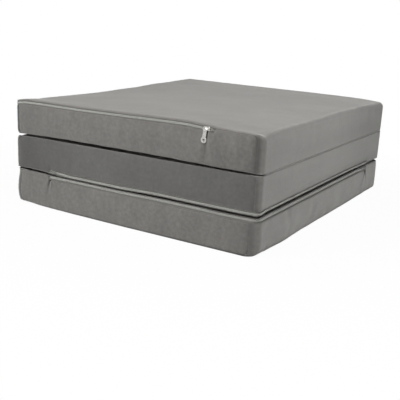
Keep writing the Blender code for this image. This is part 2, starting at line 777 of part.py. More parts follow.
def main():
    for thing in list(bpy.data.objects):
        bpy.data.objects.remove(thing, do_unlink=True)
    foot_radii = {
        "tr": EDGE_RADIUS,
        "tl": FOLD_CORNER_RADIUS,
        "bl": FLOOR_CORNER_RADIUS,
        "br": FLOOR_CORNER_RADIUS,
    }
    middle_radii = {
        "tr": FOLD_CORNER_RADIUS,
        "tl": SOFT_CORNER_RADIUS,
        "bl": FOLD_CORNER_RADIUS,
        "br": EDGE_RADIUS,
    }
    head_radii = {
        "tr": SOFT_CORNER_RADIUS,
        "tl": EDGE_RADIUS,
        "bl": SOFT_CORNER_RADIUS,
        "br": FOLD_CORNER_RADIUS,
    }
    lower_crowns = (FACE_CROWN, FACE_CROWN)
    foot = Section("foot", 0, FOOT_END_RADIUS, foot_radii, 1, 1, LOWER_ZIP_START, (FACE_CROWN, 0))
    middle = Section("middle", 1, MIDDLE_END_RADIUS, middle_radii, -1, 1, LOWER_ZIP_START, lower_crowns)
    head_crowns = (TOP_CROWN, FACE_CROWN)
    head = Section("head", 2, HEAD_END_RADIUS, head_radii, 1, -1, HEAD_ZIP_START, head_crowns)

    foot_panels = {
        "underside": ("corner", ("tr", "tl"), "corner"),
        "wrap": ("seam", ("bl", "br"), "zip"),
    }
    middle_panels = {
        "underside": ("corner", ("bl", "br"), "corner"),
        "end": ("zip", ("tr",), "corner"),
        "face": ("seam", ("tl",), "seam"),
    }
    head_panels = {
        "underside": ("corner", ("br", "tr", "tl"), "corner"),
        "face": ("zip", ("bl",), "seam"),
    }
    lower_fold_height = middle.floor - FOLD_GAP / 2
    upper_fold_height = head.floor - FOLD_GAP / 2
    lower_fold = fold_axis("middle_fold_axis", -1, lower_fold_height)
    upper_fold = fold_axis("head_fold_axis", 1, upper_fold_height)

    add_section(foot, foot_panels, False, GREY_LACQUER)
    add_hinge_strip("lower_hinge_strip", -1, lower_fold_height)
    middle_pieces, middle_slider = add_section(middle, middle_panels, True, GREY_LACQUER)
    upper_strip = add_hinge_strip("upper_hinge_strip", 1, upper_fold_height)
    head_pieces, head_slider = add_section(head, head_panels, True, NICKEL)
    pull = add_pull(head, head_slider)
    bpy.context.view_layer.update()
    carry(head_slider, [pull])
    carry(upper_fold, [*head_pieces, head_slider])
    carry(lower_fold, [*middle_pieces, middle_slider, upper_strip, upper_fold])


main()
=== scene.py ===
"""Looks of the tri-fold guest mattress: velour covers, coil zips, hardware, camera and light.

Metres, +Z up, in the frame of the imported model: the folded stack stands on z = 0, the upper fold
is at +X, the lower fold at -X, and the long side with the zip pull is at -Y, called near.
"""

import math

import bmesh
import bpy
import numpy as np
from bpy.props import FloatProperty, FloatVectorProperty, PointerProperty
from bpy.types import Operator, Panel, PropertyGroup
from mathutils import Matrix, Vector
from mathutils.bvhtree import BVHTree


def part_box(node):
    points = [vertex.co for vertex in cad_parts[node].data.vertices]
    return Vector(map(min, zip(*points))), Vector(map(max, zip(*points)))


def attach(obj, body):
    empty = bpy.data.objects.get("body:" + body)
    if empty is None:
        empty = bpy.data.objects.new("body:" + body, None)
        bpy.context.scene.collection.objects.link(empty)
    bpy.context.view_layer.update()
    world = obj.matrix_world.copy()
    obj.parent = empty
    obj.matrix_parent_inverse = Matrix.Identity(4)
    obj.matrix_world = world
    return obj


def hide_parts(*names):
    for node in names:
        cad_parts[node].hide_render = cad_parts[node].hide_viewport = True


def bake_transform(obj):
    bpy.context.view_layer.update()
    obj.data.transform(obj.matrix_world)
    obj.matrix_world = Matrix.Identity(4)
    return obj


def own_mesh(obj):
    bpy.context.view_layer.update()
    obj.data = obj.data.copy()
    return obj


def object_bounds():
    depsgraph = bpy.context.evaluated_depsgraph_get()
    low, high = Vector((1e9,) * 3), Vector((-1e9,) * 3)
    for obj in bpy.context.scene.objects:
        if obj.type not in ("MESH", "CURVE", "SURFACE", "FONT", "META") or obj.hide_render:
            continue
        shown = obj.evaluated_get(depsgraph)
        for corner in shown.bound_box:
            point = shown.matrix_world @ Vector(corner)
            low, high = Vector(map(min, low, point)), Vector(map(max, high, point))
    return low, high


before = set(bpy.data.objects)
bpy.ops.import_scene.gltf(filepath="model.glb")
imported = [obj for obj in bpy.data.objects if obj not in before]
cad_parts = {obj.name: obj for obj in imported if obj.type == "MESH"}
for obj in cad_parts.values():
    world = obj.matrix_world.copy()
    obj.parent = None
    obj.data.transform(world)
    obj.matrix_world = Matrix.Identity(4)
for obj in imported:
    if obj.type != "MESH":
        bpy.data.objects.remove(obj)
cad_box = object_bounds()

bl_info = {
    "name": "Folding mattress",
    "version": (1, 0, 0),
    "blender": (4, 5, 0),
    "location": "3D View > Sidebar > Mattress",
    "description": "Builds the soft covers, zips and hinges of a tri-fold guest mattress",
    "category": "Add Mesh",
}

block_low, block_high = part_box("foot_cover_underside")


def linear(hex_colour):
    """An sRGB hex colour as linear red, green and blue."""
    parts = [int(hex_colour[n:n + 2], 16) / 255 for n in (1, 3, 5)]
    return [part / 12.92 if part <= 0.04045 else ((part + 0.055) / 1.055) ** 2.4 for part in parts]


def length(name, description, default):
    """A size in metres that a user can change."""
    return FloatProperty(
        name=name, description=description, default=default, unit="LENGTH", subtype="DISTANCE"
    )


def colour(name, description, default):
    """A colour that a user can change, from its sRGB hex value."""
    return FloatVectorProperty(
        name=name, description=description, default=linear(default), subtype="COLOR", min=0, max=1
    )


class MattressSizes(PropertyGroup):
    """Sizes of the folded stack, its soft covers and its sewing."""

    section_length: length("Section length", "One foam section along X", block_high.x - block_low.x)
    width: length("Mattress width", "The mattress across Y", block_high.y - block_low.y)
    thickness: length("Section thickness", "One foam section's height", 0.080)
    fold_gap: length("Fold gap", "Room between two folded sections at their edges", 0.0026)
    crown_gap: length("Crown gap", "Room between two folded sections at their crowns", 0.0004)
    top_crown: length("Top crown", "How far the uppermost face stands proud", 0.0030)
    side_swell: length("Side swell", "How far the sides stand proud", 0.0015)
    crisp_radius: length("Crisp radius", "Radius of a tightly sewn edge", 0.0035)
    fold_radius: length("Fold radius", "Radius of an end's edge beside a fold", 0.0010)
    fold_edge: length("Fold edge", "Radius of a side's edge beside a fold", 0.0013)
    soft_radius: length("Soft radius", "Radius of an edge that fabric runs round", 0.0130)
    floor_radius: length("Floor radius", "Radius of the lowest left edge", 0.0095)
    fabric: length("Fabric", "Thickness of the velour", 0.0007)
    hem_radius: length("Hem radius", "Radius with which fabric turns into a seam", 0.0009)
    hem_depth: length("Hem depth", "How far fabric runs into a seam", 0.0022)
    seam_pull: length("Seam pull", "How far stitching draws the fabric in", 0.0008)
    gather: length("Gather", "Height of the small gathers along a seam", 0.00026)
    unevenness: length("Unevenness", "Height of the covers' slow waves", 0.0007)
    swell_limit: length("Swell limit", "The furthest that stuffing moves a cover", 0.0010)
    tape_width: length("Tape width", "Half of the zip's tape that shows", 0.0031)
    coil_width: length("Coil width", "Half of the zip's closed coil", 0.0023)
    coil_pitch: length("Coil pitch", "Distance between two loops of a zip's coil", 0.0015)
    stitch: length("Stitch", "Length of one topstitch", 0.0030)


class MattressColours(PropertyGroup):
    """Colours of the mattress, its zips and its stage."""

    velour: colour("Velour", "Short-pile velour with its nap laid up", "#666461")
    # Painted shade: a darker copy of the same velour for the middle section's sides, whose nap laid the other
    # way gives back less light
    velour_down_painted_shade: colour("Velour, nap down", "The same velour cut the other way up", "#525150")
    # Painted light: a lighter copy of the same velour for the hinge strips
    strip_velour_painted_light: colour("Velour, hinges", "The same velour stretched over the folds", "#8F8D89")
    tape: colour("Zip tape", "Woven polyester tape", "#6C6B67")
    coil: colour("Zip coil", "Nylon coil", "#B8B8B3")
    thread: colour("Thread", "Polyester sewing thread", "#8A8A86")
    foam: colour("Foam", "Polyurethane foam", "#E8DFC6")
    nickel: colour("Nickel", "Bright nickel plate", "#D5D3CE")
    lacquer: colour("Lacquer", "Grey lacquer on a slider", "#7C7C79")
    floor: colour("Floor", "Plain pale floor", "#BFBFBF")


# Corners of a section's outline seen from the near side: signs in X and Z, where the arc starts
# in degrees, and the sides before and after it, going round anticlockwise
CORNERS = {
    "tr": (1, 1, 0, "right", "top"),
    "tl": (-1, 1, 90, "top", "left"),
    "bl": (-1, -1, 180, "left", "bottom"),
    "br": (1, -1, 270, "bottom", "right"),
}
SIDE_STEPS = {"top": (-1, 0), "left": (0, -1), "bottom": (1, 0), "right": (0, 1)}

# Each section: its place in the stack, the radius of its upright corners, its zip's face, end and
# start along X, its outline's corner radii and the folds above and below it
SECTIONS = {
    "foot": dict(
        level=0, end_radius=0.018, zip_face=1, zip_end=1, zip_start=-0.210, folds=("lower", None),
        radii=dict(tr="crisp_radius", tl="fold_radius", bl="floor_radius", br="soft_radius"),
    ),
    "middle": dict(
        level=1, end_radius=0.011, zip_face=-1, zip_end=1, zip_start=-0.210, folds=("upper", "lower"),
        radii=dict(tr="fold_radius", tl="soft_radius", bl="fold_radius", br="crisp_radius"),
    ),
    "head": dict(
        level=2, end_radius=0.013, zip_face=1, zip_end=-1, zip_start=0.208, folds=(None, "upper"),
        radii=dict(tr="soft_radius", tl="crisp_radius", bl="soft_radius", br="fold_radius"),
    ),
}

# Wrapped panels: the rule of the first edge, the corners they go round and the rule of the last.
# A panel starts or ends at a corner's end, at the seam before the next corner, or at the zip.
WRAPPED = {
    "foot": {
        "underside": ("corner", ("tr", "tl"), "corner"),
        "wrap": ("seam", ("bl", "br"), "zip"),
    },
    "middle": {
        "underside": ("corner", ("bl", "br"), "corner"),
        "end": ("zip", ("tr",), "corner"),
        "face": ("seam", ("tl",), "seam"),
    },
    "head": {
        "underside": ("corner", ("br", "tr", "tl"), "corner"),
        "face": ("zip", ("bl",), "seam"),
    },
}

# Side panels, and which way along Y each faces
SIDE_PANELS = {"near_side": -1, "far_side": 1}

# How the edges of each face lie beside a fold: places along a side, and how far the face's edge
# stands above or below the plain block there
EDGES = {
    ("head", -1): {
        "near": (
            (-0.3165, 0.0), (-0.252, 0.0023), (-0.215, 0.0033), (-0.179, 0.0040), (0.079, 0.0040),
            (0.136, 0.0031), (0.191, 0.0021), (0.217, 0.0012), (0.3165, 0.0016),
        ),
        "far": ((-0.3165, 0.0016), (0.20, 0.0014), (0.30, 0.0)),
        "left": ((-0.375, 0.0008), (-0.366, -0.0008), (0.375, -0.0008)),
        "right": ((-0.375, 0.0), (0.375, 0.0)),
    },
    ("middle", 1): {
        "near": ((-0.3165, -0.0012), (-0.25, 0.0), (0.18, 0.0003), (0.3165, 0.0002)),
        "far": ((-0.3165, -0.0012), (0.20, -0.0010), (0.30, 0.0)),
        "left": ((-0.375, -0.0012), (-0.366, 0.0008), (0.375, 0.0008)),
        "right": ((-0.375, 0.0), (0.375, 0.0)),
    },
    ("middle", -1): {
        "near": (
            (-0.3165, 0.0050), (-0.235, 0.0045), (-0.208, 0.0010), (-0.180, -0.0008), (-0.110, -0.0006),
            (-0.012, -0.0010), (0.049, 0.0010), (0.079, 0.0020), (0.190, 0.0012), (0.243, 0.0009),
            (0.3165, 0.0008),
        ),
        "far": ((-0.30, 0.0), (-0.20, 0.0010), (0.3165, 0.0015)),
        "left": ((-0.375, 0.0044), (-0.355, 0.0012), (-0.330, 0.0), (0.375, 0.0)),
        "right": (
            (-0.375, 0.0024), (-0.350, 0.0038), (0.0, 0.0046), (0.134, 0.0040), (0.215, 0.0026),
            (0.255, 0.0014), (0.290, 0.0026), (0.375, 0.0030),
        ),
    },
    ("foot", 1): {
        "near": (
            (-0.3165, 0.0026), (-0.240, 0.0024), (-0.212, 0.0010), (-0.110, 0.0011), (-0.012, 0.0001),
            (0.049, 0.0008), (0.108, 0.0016), (0.191, 0.0010), (0.230, -0.0002), (0.3165, 0.0006),
        ),
        "far": ((-0.30, 0.0), (-0.20, -0.0004), (0.3165, -0.0006)),
        "left": ((-0.375, 0.0022), (-0.355, 0.0006), (-0.330, 0.0), (0.375, 0.0)),
        "right": ((-0.375, 0.0016), (0.0, 0.0022), (0.233, 0.0016), (0.262, 0.0012), (0.375, -0.0004)),
    },
}
OPEN_SIDES = {"upper": ("near", "far", "left"), "lower": ("near", "far", "right")}
# How far in from a side its edge still shapes the face, and how deep a face sinks behind its edges
EDGE_REACH = 0.035
HOLLOW = 0.0032

# How the uppermost face lies: its height over or under a true plane at places in X and Y
LIE_X = (-0.3165, -0.285, -0.24, -0.12, -0.01, 0.045, 0.11, 0.15, 0.195, 0.225, 0.26, 0.3165)
LIE_Y = (-0.375, -0.30, -0.10, 0.05, 0.20, 0.375)
LIE = 0.001 * np.array([
    (-4.5, 0.2, 0.9, 0.2, 1.5, 2.3, 3.2, 3.2, -0.4, -2.8, -4.0, -4.6),
    (-7.0, -4.6, -2.0, 0.4, 1.4, 1.8, 2.2, 2.2, 1.4, 0.6, -0.6, -2.2),
    (-7.5, -6.0, -4.0, 0.0, 0.6, 0.8, 1.0, 1.0, 1.0, 0.8, 0.4, -0.6),
    (-4.5, -3.7, -2.5, 0.0, 0.4, 0.4, 0.4, 0.4, 0.4, 0.4, 0.2, 0.0),
    (0.5, 0.5, 0.6, 0.8, 1.0, 0.8, 0.6, 0.4, 0.2, 0.0, -0.3, -0.8),
    (4.5, 4.2, 3.6, 2.6, 2.0, 1.6, 1.0, 0.6, 0.0, -0.6, -2.0, -6.0),
])

# The lowest cover's free left end: how far it hangs in, from where to where along X, and the height
# up to which it does
SLACK = 0.006
SLACK_SPAN = (0.24, 0.315)
SLACK_HEIGHT = 0.070

# How far the lowest cover's near edge and right edge lift off the floor at places along them, and
# how far in from the edge that reaches
NEAR_LIFT = ((-0.3165, -0.29, -0.27, -0.24, -0.15, 0.0), (0.0065, 0.0060, 0.0050, 0.0032, 0.0014, 0.0))
RIGHT_LIFT = ((-0.375, -0.35, -0.25, -0.10), (0.0045, 0.0037, 0.0010, 0.0))
NEAR_LIFT_REACH = 0.035
RIGHT_LIFT_REACH = 0.030

# Painted shade on the velour, as the share of light taken off its colour and its sheen, and painted
# light where it is negative: round each section's near corners at places from the side panel's seam,
# in corner radii, on the side panels beside that seam and towards their left end, on the right end's
# far part, along the lowest near edge, and in a crease
CORNER_PLACES = (0.0, 0.13, 0.30, 0.65, 1.0, 1.6)
CORNER_PAINTED_SHADE = {
    "foot": (0.26, 0.0, -0.24, -0.28, -0.08, 0.0),
    "middle": (0.30, 0.08, -0.20, -0.24, 0.04, 0.0),
    "head": (0.45, 0.08, -0.24, -0.32, 0.0, 0.0),
}
SEAM_PAINTED_SHADE = {"foot": 0.16, "middle": 0.10, "head": 0.42}
LEFT_END_PAINTED_SHADE = {"foot": 0.08, "middle": 0.28, "head": 0.12}
FAR_END_PAINTED_SHADE = {"foot": 0.08, "middle": 0.18, "head": 0.26}
FLOOR_EDGE_PAINTED_SHADE = 0.42
CREASE_PAINTED_SHADE = 0.8
CREASE_SHADE_DEPTH = 0.003

# What is left of a section's length where its slack end presses on the next one as the folds open
SQUEEZED = {"foot_section": 0.9885, "middle_section": 0.9965}

# Softness: how far from an edge the crown and the swell begin and how far they take to rise, and
# the share of the unevenness that a hinge strip holds flat
EASE_START = 0.013
CROWN_RUN = 0.120
SWELL_RUN = 0.020
HINGE_CALM = 0.75

# A side panel's corner radius beside a rounded and beside a tight corner of the section
SEAM_CORNER = 0.009
SHARP_SEAM_CORNER = 0.0012

# Zip: how far its centre line and the cover's far edge lie from the zipped face, the length over
# which the cover closes past its ends, and how far across the end it runs
ZIP_CENTRE = 0.0068
ZIP_LOW = 0.0101
ZIP_CLOSE_RAMP = 0.006
ZIP_END_ACROSS = 0.265

# Tape: how deep it lies, its thickness, how far it runs past the zip's ends, the seam it leaves
# beside the face, how far it sinks under the coil, and the distance between its rings
TAPE_DEPTH = 0.00015
TAPE_THICKNESS = 0.0005
TAPE_END = 0.0055
TAPE_SEAM = 0.0004
TAPE_SINK = 0.0006
TAPE_STEP = 0.0025

# Coil: how far it stands proud of the cover, its depth, the slit between its halves, how far the
# slider parts them and how far from the zip's end that reaches, how far a coil in a fold is drawn
# towards the face, where along the zip that begins and ends, and the share of the pitch a loop fills
COIL_PROUD = 0.0004
COIL_DEPTH = 0.0011
COIL_SLIT = 0.0003
COIL_PARTING = 0.0010
SLIDER_REACH = 0.018
COIL_RISE = 0.0024
COIL_RISE_SPAN = (0.022, 0.070)
LOOP_FILL = 0.72

# Sewing: how far inside a panel's edge the topstitch runs and how far from the zip's ends it stops,
# its pitch in stitches, the thread's width and height, and how far a stitch stands up
STITCH_INSET = 0.0016
STITCH_END = 0.002
STITCH_PITCH = 1.3
THREAD_WIDTH = 0.0005
THREAD_HEIGHT = 0.0004
STITCH_RISE = 0.00005

# Bar tack across a zip's end: its stitches' spacing, half length, slant and height over the coil
TACK_STEP = 0.00045
TACK_HALF = 0.0034
TACK_SLANT = 0.0003
TACK_PROUD = 0.0004

# Hinge strip: its room in the fold, its fabric, how far its legs reach in, how far its bend stands
# past the section, how far its ends stop short, the corner that they follow and their play there,
# its pucker, and its number of rings
HINGE_ROOM = 0.00012
HINGE_FABRIC = 0.0009
HINGE_LEG = 0.012
HINGE_PROUD = 0.0002
HINGE_END = 0.0100
HINGE_CORNER = 0.018
HINGE_PLAY = 0.0008
HINGE_PUCKER = 0.0002
HINGE_RINGS = 160

# Meshes: the first steps beside a seam and beside a zip, how fast steps grow, the longest, and the
# steps round a corner and round an edge
SEAM_STEP = 0.0030
FINE_STEP = 0.0014
STEP_GROWTH = 0.13
LONGEST_STEP = 0.0105
CORNER_STEPS = 7
TURN_STEPS = 6

# How many waves make up an uneven height
WAVES = 16

# Creases that run out of a zip's end: how many degrees each is turned from straight down the cover,
# its length, depth and width, and how far inside the zip it starts
CREASES = {
    "foot_start": ((-14, 0.016, 0.0034, 0.0017, 0.0), (36, 0.010, 0.0016, 0.0013, 0.0)),
    "foot_end": ((-6, 0.015, 0.0026, 0.0016, 0.0), (38, 0.017, 0.0022, 0.0015, 0.0)),
    "middle_start": ((8, 0.008, 0.0007, 0.0016, 0.0),),
    "middle_end": ((0, 0.008, 0.0006, 0.0016, 0.0),),
    "head_start": (
        (-26, 0.026, 0.0007, 0.0028, 0.0), (2, 0.030, 0.0030, 0.0021, 0.0130),
        (24, 0.020, 0.0007, 0.0026, 0.0),
    ),
    "head_end": ((0, 0.010, 0.0007, 0.0018, 0.0),),
}


def smooth(value, low, high):
    """0 below low, 1 above high and a smooth rise between."""
    share = np.clip((value - low) / (high - low), 0, 1)
    return share * share * (3 - 2 * share)


def unit(vectors):
    """The vectors' directions, each one long."""
    return vectors / np.maximum(np.linalg.norm(vectors, axis=-1, keepdims=True), 1e-12)


class Section:
    """One foam section in the stack: its block, its corners and its zip."""

    def __init__(self, name, sizes):
        facts = SECTIONS[name]
        self.name = name
        self.sizes = sizes
        self.half_length = sizes.section_length / 2
        self.half_width = sizes.width / 2
        self.half_thickness = sizes.thickness / 2
        self.middle = facts["level"] * (sizes.thickness + sizes.fold_gap) + self.half_thickness
        self.end_radius = facts["end_radius"]
        self.radii = {corner: getattr(sizes, radius) for corner, radius in facts["radii"].items()}
        self.zip_face = facts["zip_face"]
        self.zip_end = facts["zip_end"]
        self.zip_start = facts["zip_start"]
        self.folds = facts["folds"]
        face_crown = (sizes.fold_gap - sizes.crown_gap) / 2
        self.top_crown = face_crown if self.beside_fold(1) else sizes.top_crown
        self.bottom_crown = face_crown if self.beside_fold(-1) else 0

    def beside_fold(self, face):
        """Whether the upper (1) or lower (-1) face lies in a fold."""
        return self.folds[0 if face > 0 else 1] is not None

    def zip_height(self, drop):
        """The height that lies this far from the zipped face."""
        return self.middle + self.zip_face * (self.half_thickness - drop)

    def edge_radius(self, face):
        """The radius with which the cover turns from the upper (1) or lower (-1) face to a side."""
        return self.sizes.fold_edge if self.beside_fold(face) else self.sizes.crisp_radius

    def seam_corner(self, corner):
        """A corner's radius where the side panel's seam goes round it."""
        return SEAM_CORNER if self.radii[corner] > self.sizes.crisp_radius else SHARP_SEAM_CORNER

    def lip_drop(self, inside_zip):
        """How far the cover's edge lies from the zipped face, this far inside the zip's length."""
        share = np.clip(-inside_zip / ZIP_CLOSE_RAMP, 0, 1)
        return ZIP_LOW + share * (self.edge_radius(self.zip_face) - ZIP_LOW)

    def stuff(self, points):
        """The plain block's points moved to where the stuffed cover holds them."""
        x, y, z = points[..., 0], points[..., 1], points[..., 2]
        up = (z - self.middle) / self.half_thickness
        from_end = self.half_length - abs(x)
        from_side = self.half_width - abs(y)
        from_face = self.half_thickness - abs(z - self.middle)
        crown = np.where(up > 0, self.top_crown, self.bottom_crown)
        end_ease = smooth(from_end, EASE_START, EASE_START + CROWN_RUN)
        side_ease = smooth(from_side, EASE_START, EASE_START + CROWN_RUN)
        swell = self.sizes.side_swell * smooth(from_face, EASE_START, EASE_START + SWELL_RUN)
        moved = np.stack([
            x + swell * side_ease * x / self.half_length,
            y + swell * end_ease * y / self.half_width,
            z + crown * end_ease * side_ease * up,
        ], axis=-1)
        return self.settle(moved)

    def settle(self, points):
        """Points moved by the folds that gape, by the way the uppermost face lies, and by the lowest
        cover's lifted edges and its slack at the free left end."""
        x, y, z = points[..., 0], points[..., 1], points[..., 2]
        up = (z - self.middle) / self.half_thickness
        shift = np.zeros_like(z)
        for face, fold in zip((1, -1), self.folds):
            if fold:
                hollow = fold_hollow(fold, x, y, self) * smooth(face * up, 0.80, 0.99)
                shift += smooth(face * up, 0.5, 0.95) * edge_shift(self, face, x, y) - face * hollow
            elif face > 0:
                shift += smooth(up, 0, 1) * lie(x, y)
        slack = np.zeros_like(x)
        if self.name == "foot":
            near = np.interp(x, *NEAR_LIFT) * (1 - smooth(self.half_width + y, 0.0, NEAR_LIFT_REACH))
            right = np.interp(y, *RIGHT_LIFT) * (1 - smooth(self.half_length - x, 0.0, RIGHT_LIFT_REACH))
            shift += np.maximum(near, right) * smooth(-up, 0.2, 1.0)
            slack = SLACK * smooth(-x, *SLACK_SPAN) * np.sin(math.pi * np.clip(z / SLACK_HEIGHT, 0, 1))
        return np.stack([x - slack, y, z + shift], axis=-1)


def from_sides(x, y, section):
    """The place along each side of a section and the distance from it."""
    return {
        "near": (x, section.half_width + y), "far": (x, section.half_width - y),
        "left": (y, section.half_length + x), "right": (y, section.half_length - x),
    }


def edge_shift(section, face, x, y):
    """How far a face beside a fold lies above or below the plain block at (x, y)."""
    total, weights = np.zeros_like(x), np.zeros_like(x)
    for side, (along, distance) in from_sides(x, y, section).items():
        places, shifts = zip(*EDGES[section.name, face][side])
        weight = 1 - smooth(distance, 0.2 * EDGE_REACH, EDGE_REACH)
        total += weight * np.interp(along, places, shifts)
        weights += weight
    return total / np.maximum(weights, 1)


def fold_hollow(fold, x, y, section):
    """How far a face sinks behind its sewn edges inside a fold, away from the hinge."""
    sides = from_sides(x, y, section)
    inside = np.minimum.reduce([sides[side][1] for side in OPEN_SIDES[fold]])
    hinge = sides["right" if fold == "upper" else "left"][1]
    depth = smooth(inside, 0.0012, 0.0065) * (1 - smooth(inside, 0.030, 0.075))
    return HOLLOW * depth * smooth(hinge, 0.016, 0.040)


def lie(x, y):
    """The height of the uppermost face over a true plane at (x, y)."""
    by_row = np.stack([np.interp(x, LIE_X, row) for row in LIE])
    place = np.clip(np.interp(y, LIE_Y, range(len(LIE_Y))), 0, len(LIE_Y) - 1 - 1e-9)
    row = place.astype(int)
    share = smooth(place - row, 0, 1)
    low = np.take_along_axis(by_row, row[None], 0)[0]
    high = np.take_along_axis(by_row, row[None] + 1, 0)[0]
    return low + (high - low) * share


def graded(span, first=SEAM_STEP, last=SEAM_STEP):
    """Shares from 0 to 1 of a span, in steps that grow from both its ends towards its middle."""
    stations = [0.0]
    while stations[-1] < span:
        here = stations[-1]
        left = max(span - here, 0)
        stations.append(here + min(first + here * STEP_GROWTH, last + left * STEP_GROWTH, LONGEST_STEP))
    return np.array(stations) / stations[-1]


def near_zip_end(place):
    """Closely spaced stations on both sides of a zip's end."""
    return place + np.arange(-14, 15) * FINE_STEP


def corner_arc(section, corner, inset_x, inset_z, radius):
    """The outline's points round one corner: x, z and how much each faces the end."""
    sign_x, sign_z, start, _, _ = CORNERS[corner]
    angles = np.radians(start + 90 * np.arange(CORNER_STEPS + 1) / CORNER_STEPS)
    out_x, out_z = np.cos(angles), np.sin(angles)
    centre_x = sign_x * (section.half_length - inset_x - radius)
    centre_z = section.middle + sign_z * (section.half_thickness - inset_z - radius)
    return np.stack([centre_x + radius * out_x, centre_z + radius * out_z, out_x ** 2], axis=-1)


def corner_arcs(section, corner):
    """A corner's arc on the block's outside and on its side seam."""
    edge = section.edge_radius(CORNERS[corner][1])
    return np.stack([
        corner_arc(section, corner, 0, 0, section.radii[corner]),
        corner_arc(section, corner, section.end_radius, edge, section.seam_corner(corner)),
    ])


def shortened(arcs, cut, at_end):
    """A corner's arcs cut short by a hem at their first or last point."""
    made = []
    for arc in arcs:
        steps = np.linalg.norm(np.diff(arc[:, :2], axis=0), axis=1)
        along = np.concatenate([[0], np.cumsum(steps)])
        less = min(cut, along[-1] * 0.45)
        wanted = np.linspace(0 if at_end else less, along[-1] - (less if at_end else 0), len(arc))
        made.append(np.stack([np.interp(wanted, along, arc[:, n]) for n in range(3)], axis=-1))
    return np.stack(made)


def free_edge(section, rule, side, starts):
    """Where a panel's first or last edge runs, on the block's outside and on its side seam."""
    hem = section.sizes.hem_radius
    if rule == "corner":
        return None
    if rule == "zip":
        sign = -1 if side == "left" else 1
        height = section.zip_height(ZIP_LOW + hem)
        reaches = (section.half_length, section.half_length - section.end_radius)
        return np.array([(sign * reach, height, 1) for reach in reaches])
    corner = next(name for name in CORNERS if CORNERS[name][4 if starts else 3] == side)
    edge = corner_arcs(section, corner)[:, -1 if starts else 0].copy()
    edge[:, :2] += (hem if starts else -hem) * np.array(SIDE_STEPS[side])
    return edge


def panel_outlines(section, run):
    """A wrapped panel's outline on the block's outside and at its side seams, with matching points,
    and how far each point follows the zipped edge, from 0 at the nearest corner to 1 at the edge."""
    first, corners, last = run
    hem = section.sizes.hem_radius
    stretches, zip_shares = [], []
    start = free_edge(section, first, CORNERS[corners[0]][3], True)
    end = free_edge(section, last, CORNERS[corners[-1]][4], False)
    if start is not None:
        stretches.append(start[:, None])
        zip_shares.append([float(first == "zip")])
    for n, corner in enumerate(corners):
        arcs = corner_arcs(section, corner)
        if n == 0 and first == "corner":
            arcs = shortened(arcs, hem, False)
        if n == len(corners) - 1 and last == "corner":
            arcs = shortened(arcs, hem, True)
        if stretches:
            zipped = n == 0 and first == "zip"
            step = FINE_STEP if zipped else SEAM_STEP
            shares, points = stretch(stretches[-1][:, -1], arcs[:, 0], step, SEAM_STEP)
            stretches.append(points)
            zip_shares.append((1 - shares) * zipped)
        stretches.append(arcs)
        zip_shares.append(np.zeros(arcs.shape[1]))
    if end is not None:
        zipped = last == "zip"
        shares, points = stretch(stretches[-1][:, -1], end, SEAM_STEP, FINE_STEP if zipped else SEAM_STEP)
        stretches += [points, end[:, None]]
        zip_shares += [shares * zipped, [float(zipped)]]
    outer, inner = np.concatenate(stretches, axis=1)
    return outer, inner, np.concatenate(zip_shares)


def stretch(start, end, first, last):
    """The points between two others, on both outlines, and their shares of the way."""
    shares = graded(np.linalg.norm((end - start)[0, :2]), first, last)[1:-1]
    return shares, start[:, None] + (end - start)[:, None] * shares[None, :, None]


def wrapped_grid(section, run):
    """A wrapped panel's surface as rows of points across the mattress, each row round the block."""
    sizes = section.sizes
    outer, inner, zip_share = panel_outlines(section, run)
    edge = np.where(outer[:, 1] > section.middle, section.edge_radius(1), section.edge_radius(-1))
    into = np.clip((abs(outer[:, 0]) - section.half_length) / section.end_radius + 1, 0, 1)
    radius = edge + (section.end_radius - edge) * np.maximum(outer[:, 2], 1 - np.sqrt(1 - into ** 2))
    limit = math.pi / 2 - sizes.hem_radius / radius
    reach = section.half_width - section.end_radius
    flat = graded(2 * section.half_width, FINE_STEP, FINE_STEP) * 2 - 1
    if "zip" in run:
        flat = np.concatenate([flat, near_zip_end(ZIP_END_ACROSS) / reach])
    flat = np.unique(np.round(flat, 5))
    rows = [(-1, step / TURN_STEPS) for step in range(TURN_STEPS, 0, -1)]
    rows += [(share, 0) for share in flat]
    rows += [(1, step / TURN_STEPS) for step in range(1, TURN_STEPS + 1)]
    grid = []
    for share, turned in rows:
        turn = turned * limit
        place = inner[:, :2] + (outer[:, :2] - inner[:, :2]) * np.cos(turn)[:, None]
        y = share * (section.half_width - radius) + np.sign(share) * radius * np.sin(turn)
        lip_shift = section.lip_drop(ZIP_END_ACROSS - y) - ZIP_LOW
        z = place[:, 1] - section.zip_face * zip_share * lip_shift
        grid.append(np.stack([place[:, 0], y, z], axis=-1))
    return section.stuff(np.array(grid))


def side_grid(section, sign):
    """A flat side panel's surface as columns of points along the section."""
    sizes = section.sizes
    hem = sizes.hem_radius
    reach = section.half_length - section.end_radius - hem
    xs = (graded(2 * reach) * 2 - 1) * reach
    if sign < 0:
        xs = np.concatenate([xs, near_zip_end(section.zip_start)])
    xs = np.unique(np.round(xs, 5))
    edges = []
    for face, letter in ((-1, "b"), (1, "t")):
        left, right = section.seam_corner(letter + "l"), section.seam_corner(letter + "r")
        radii = np.where(xs > 0, right, left) - hem / 2
        into = np.clip(abs(xs) - (reach - radii), 0, radii)
        drop = section.edge_radius(face) + hem + radii - np.sqrt(radii ** 2 - into ** 2)
        if sign < 0 and face == section.zip_face:
            drop = np.maximum(drop, section.lip_drop((xs - section.zip_start) * section.zip_end) + hem)
        height = section.middle + face * (section.half_thickness - drop)
        edges.append(np.stack([xs, np.full_like(xs, sign * section.half_width), height], axis=-1)[:, None])
    steps = [FINE_STEP if sign < 0 and face == section.zip_face else SEAM_STEP for face in (-1, 1)]
    shares = graded(sizes.thickness, *steps)[None, :, None]
    return section.stuff(edges[0] + (edges[1] - edges[0]) * shares)


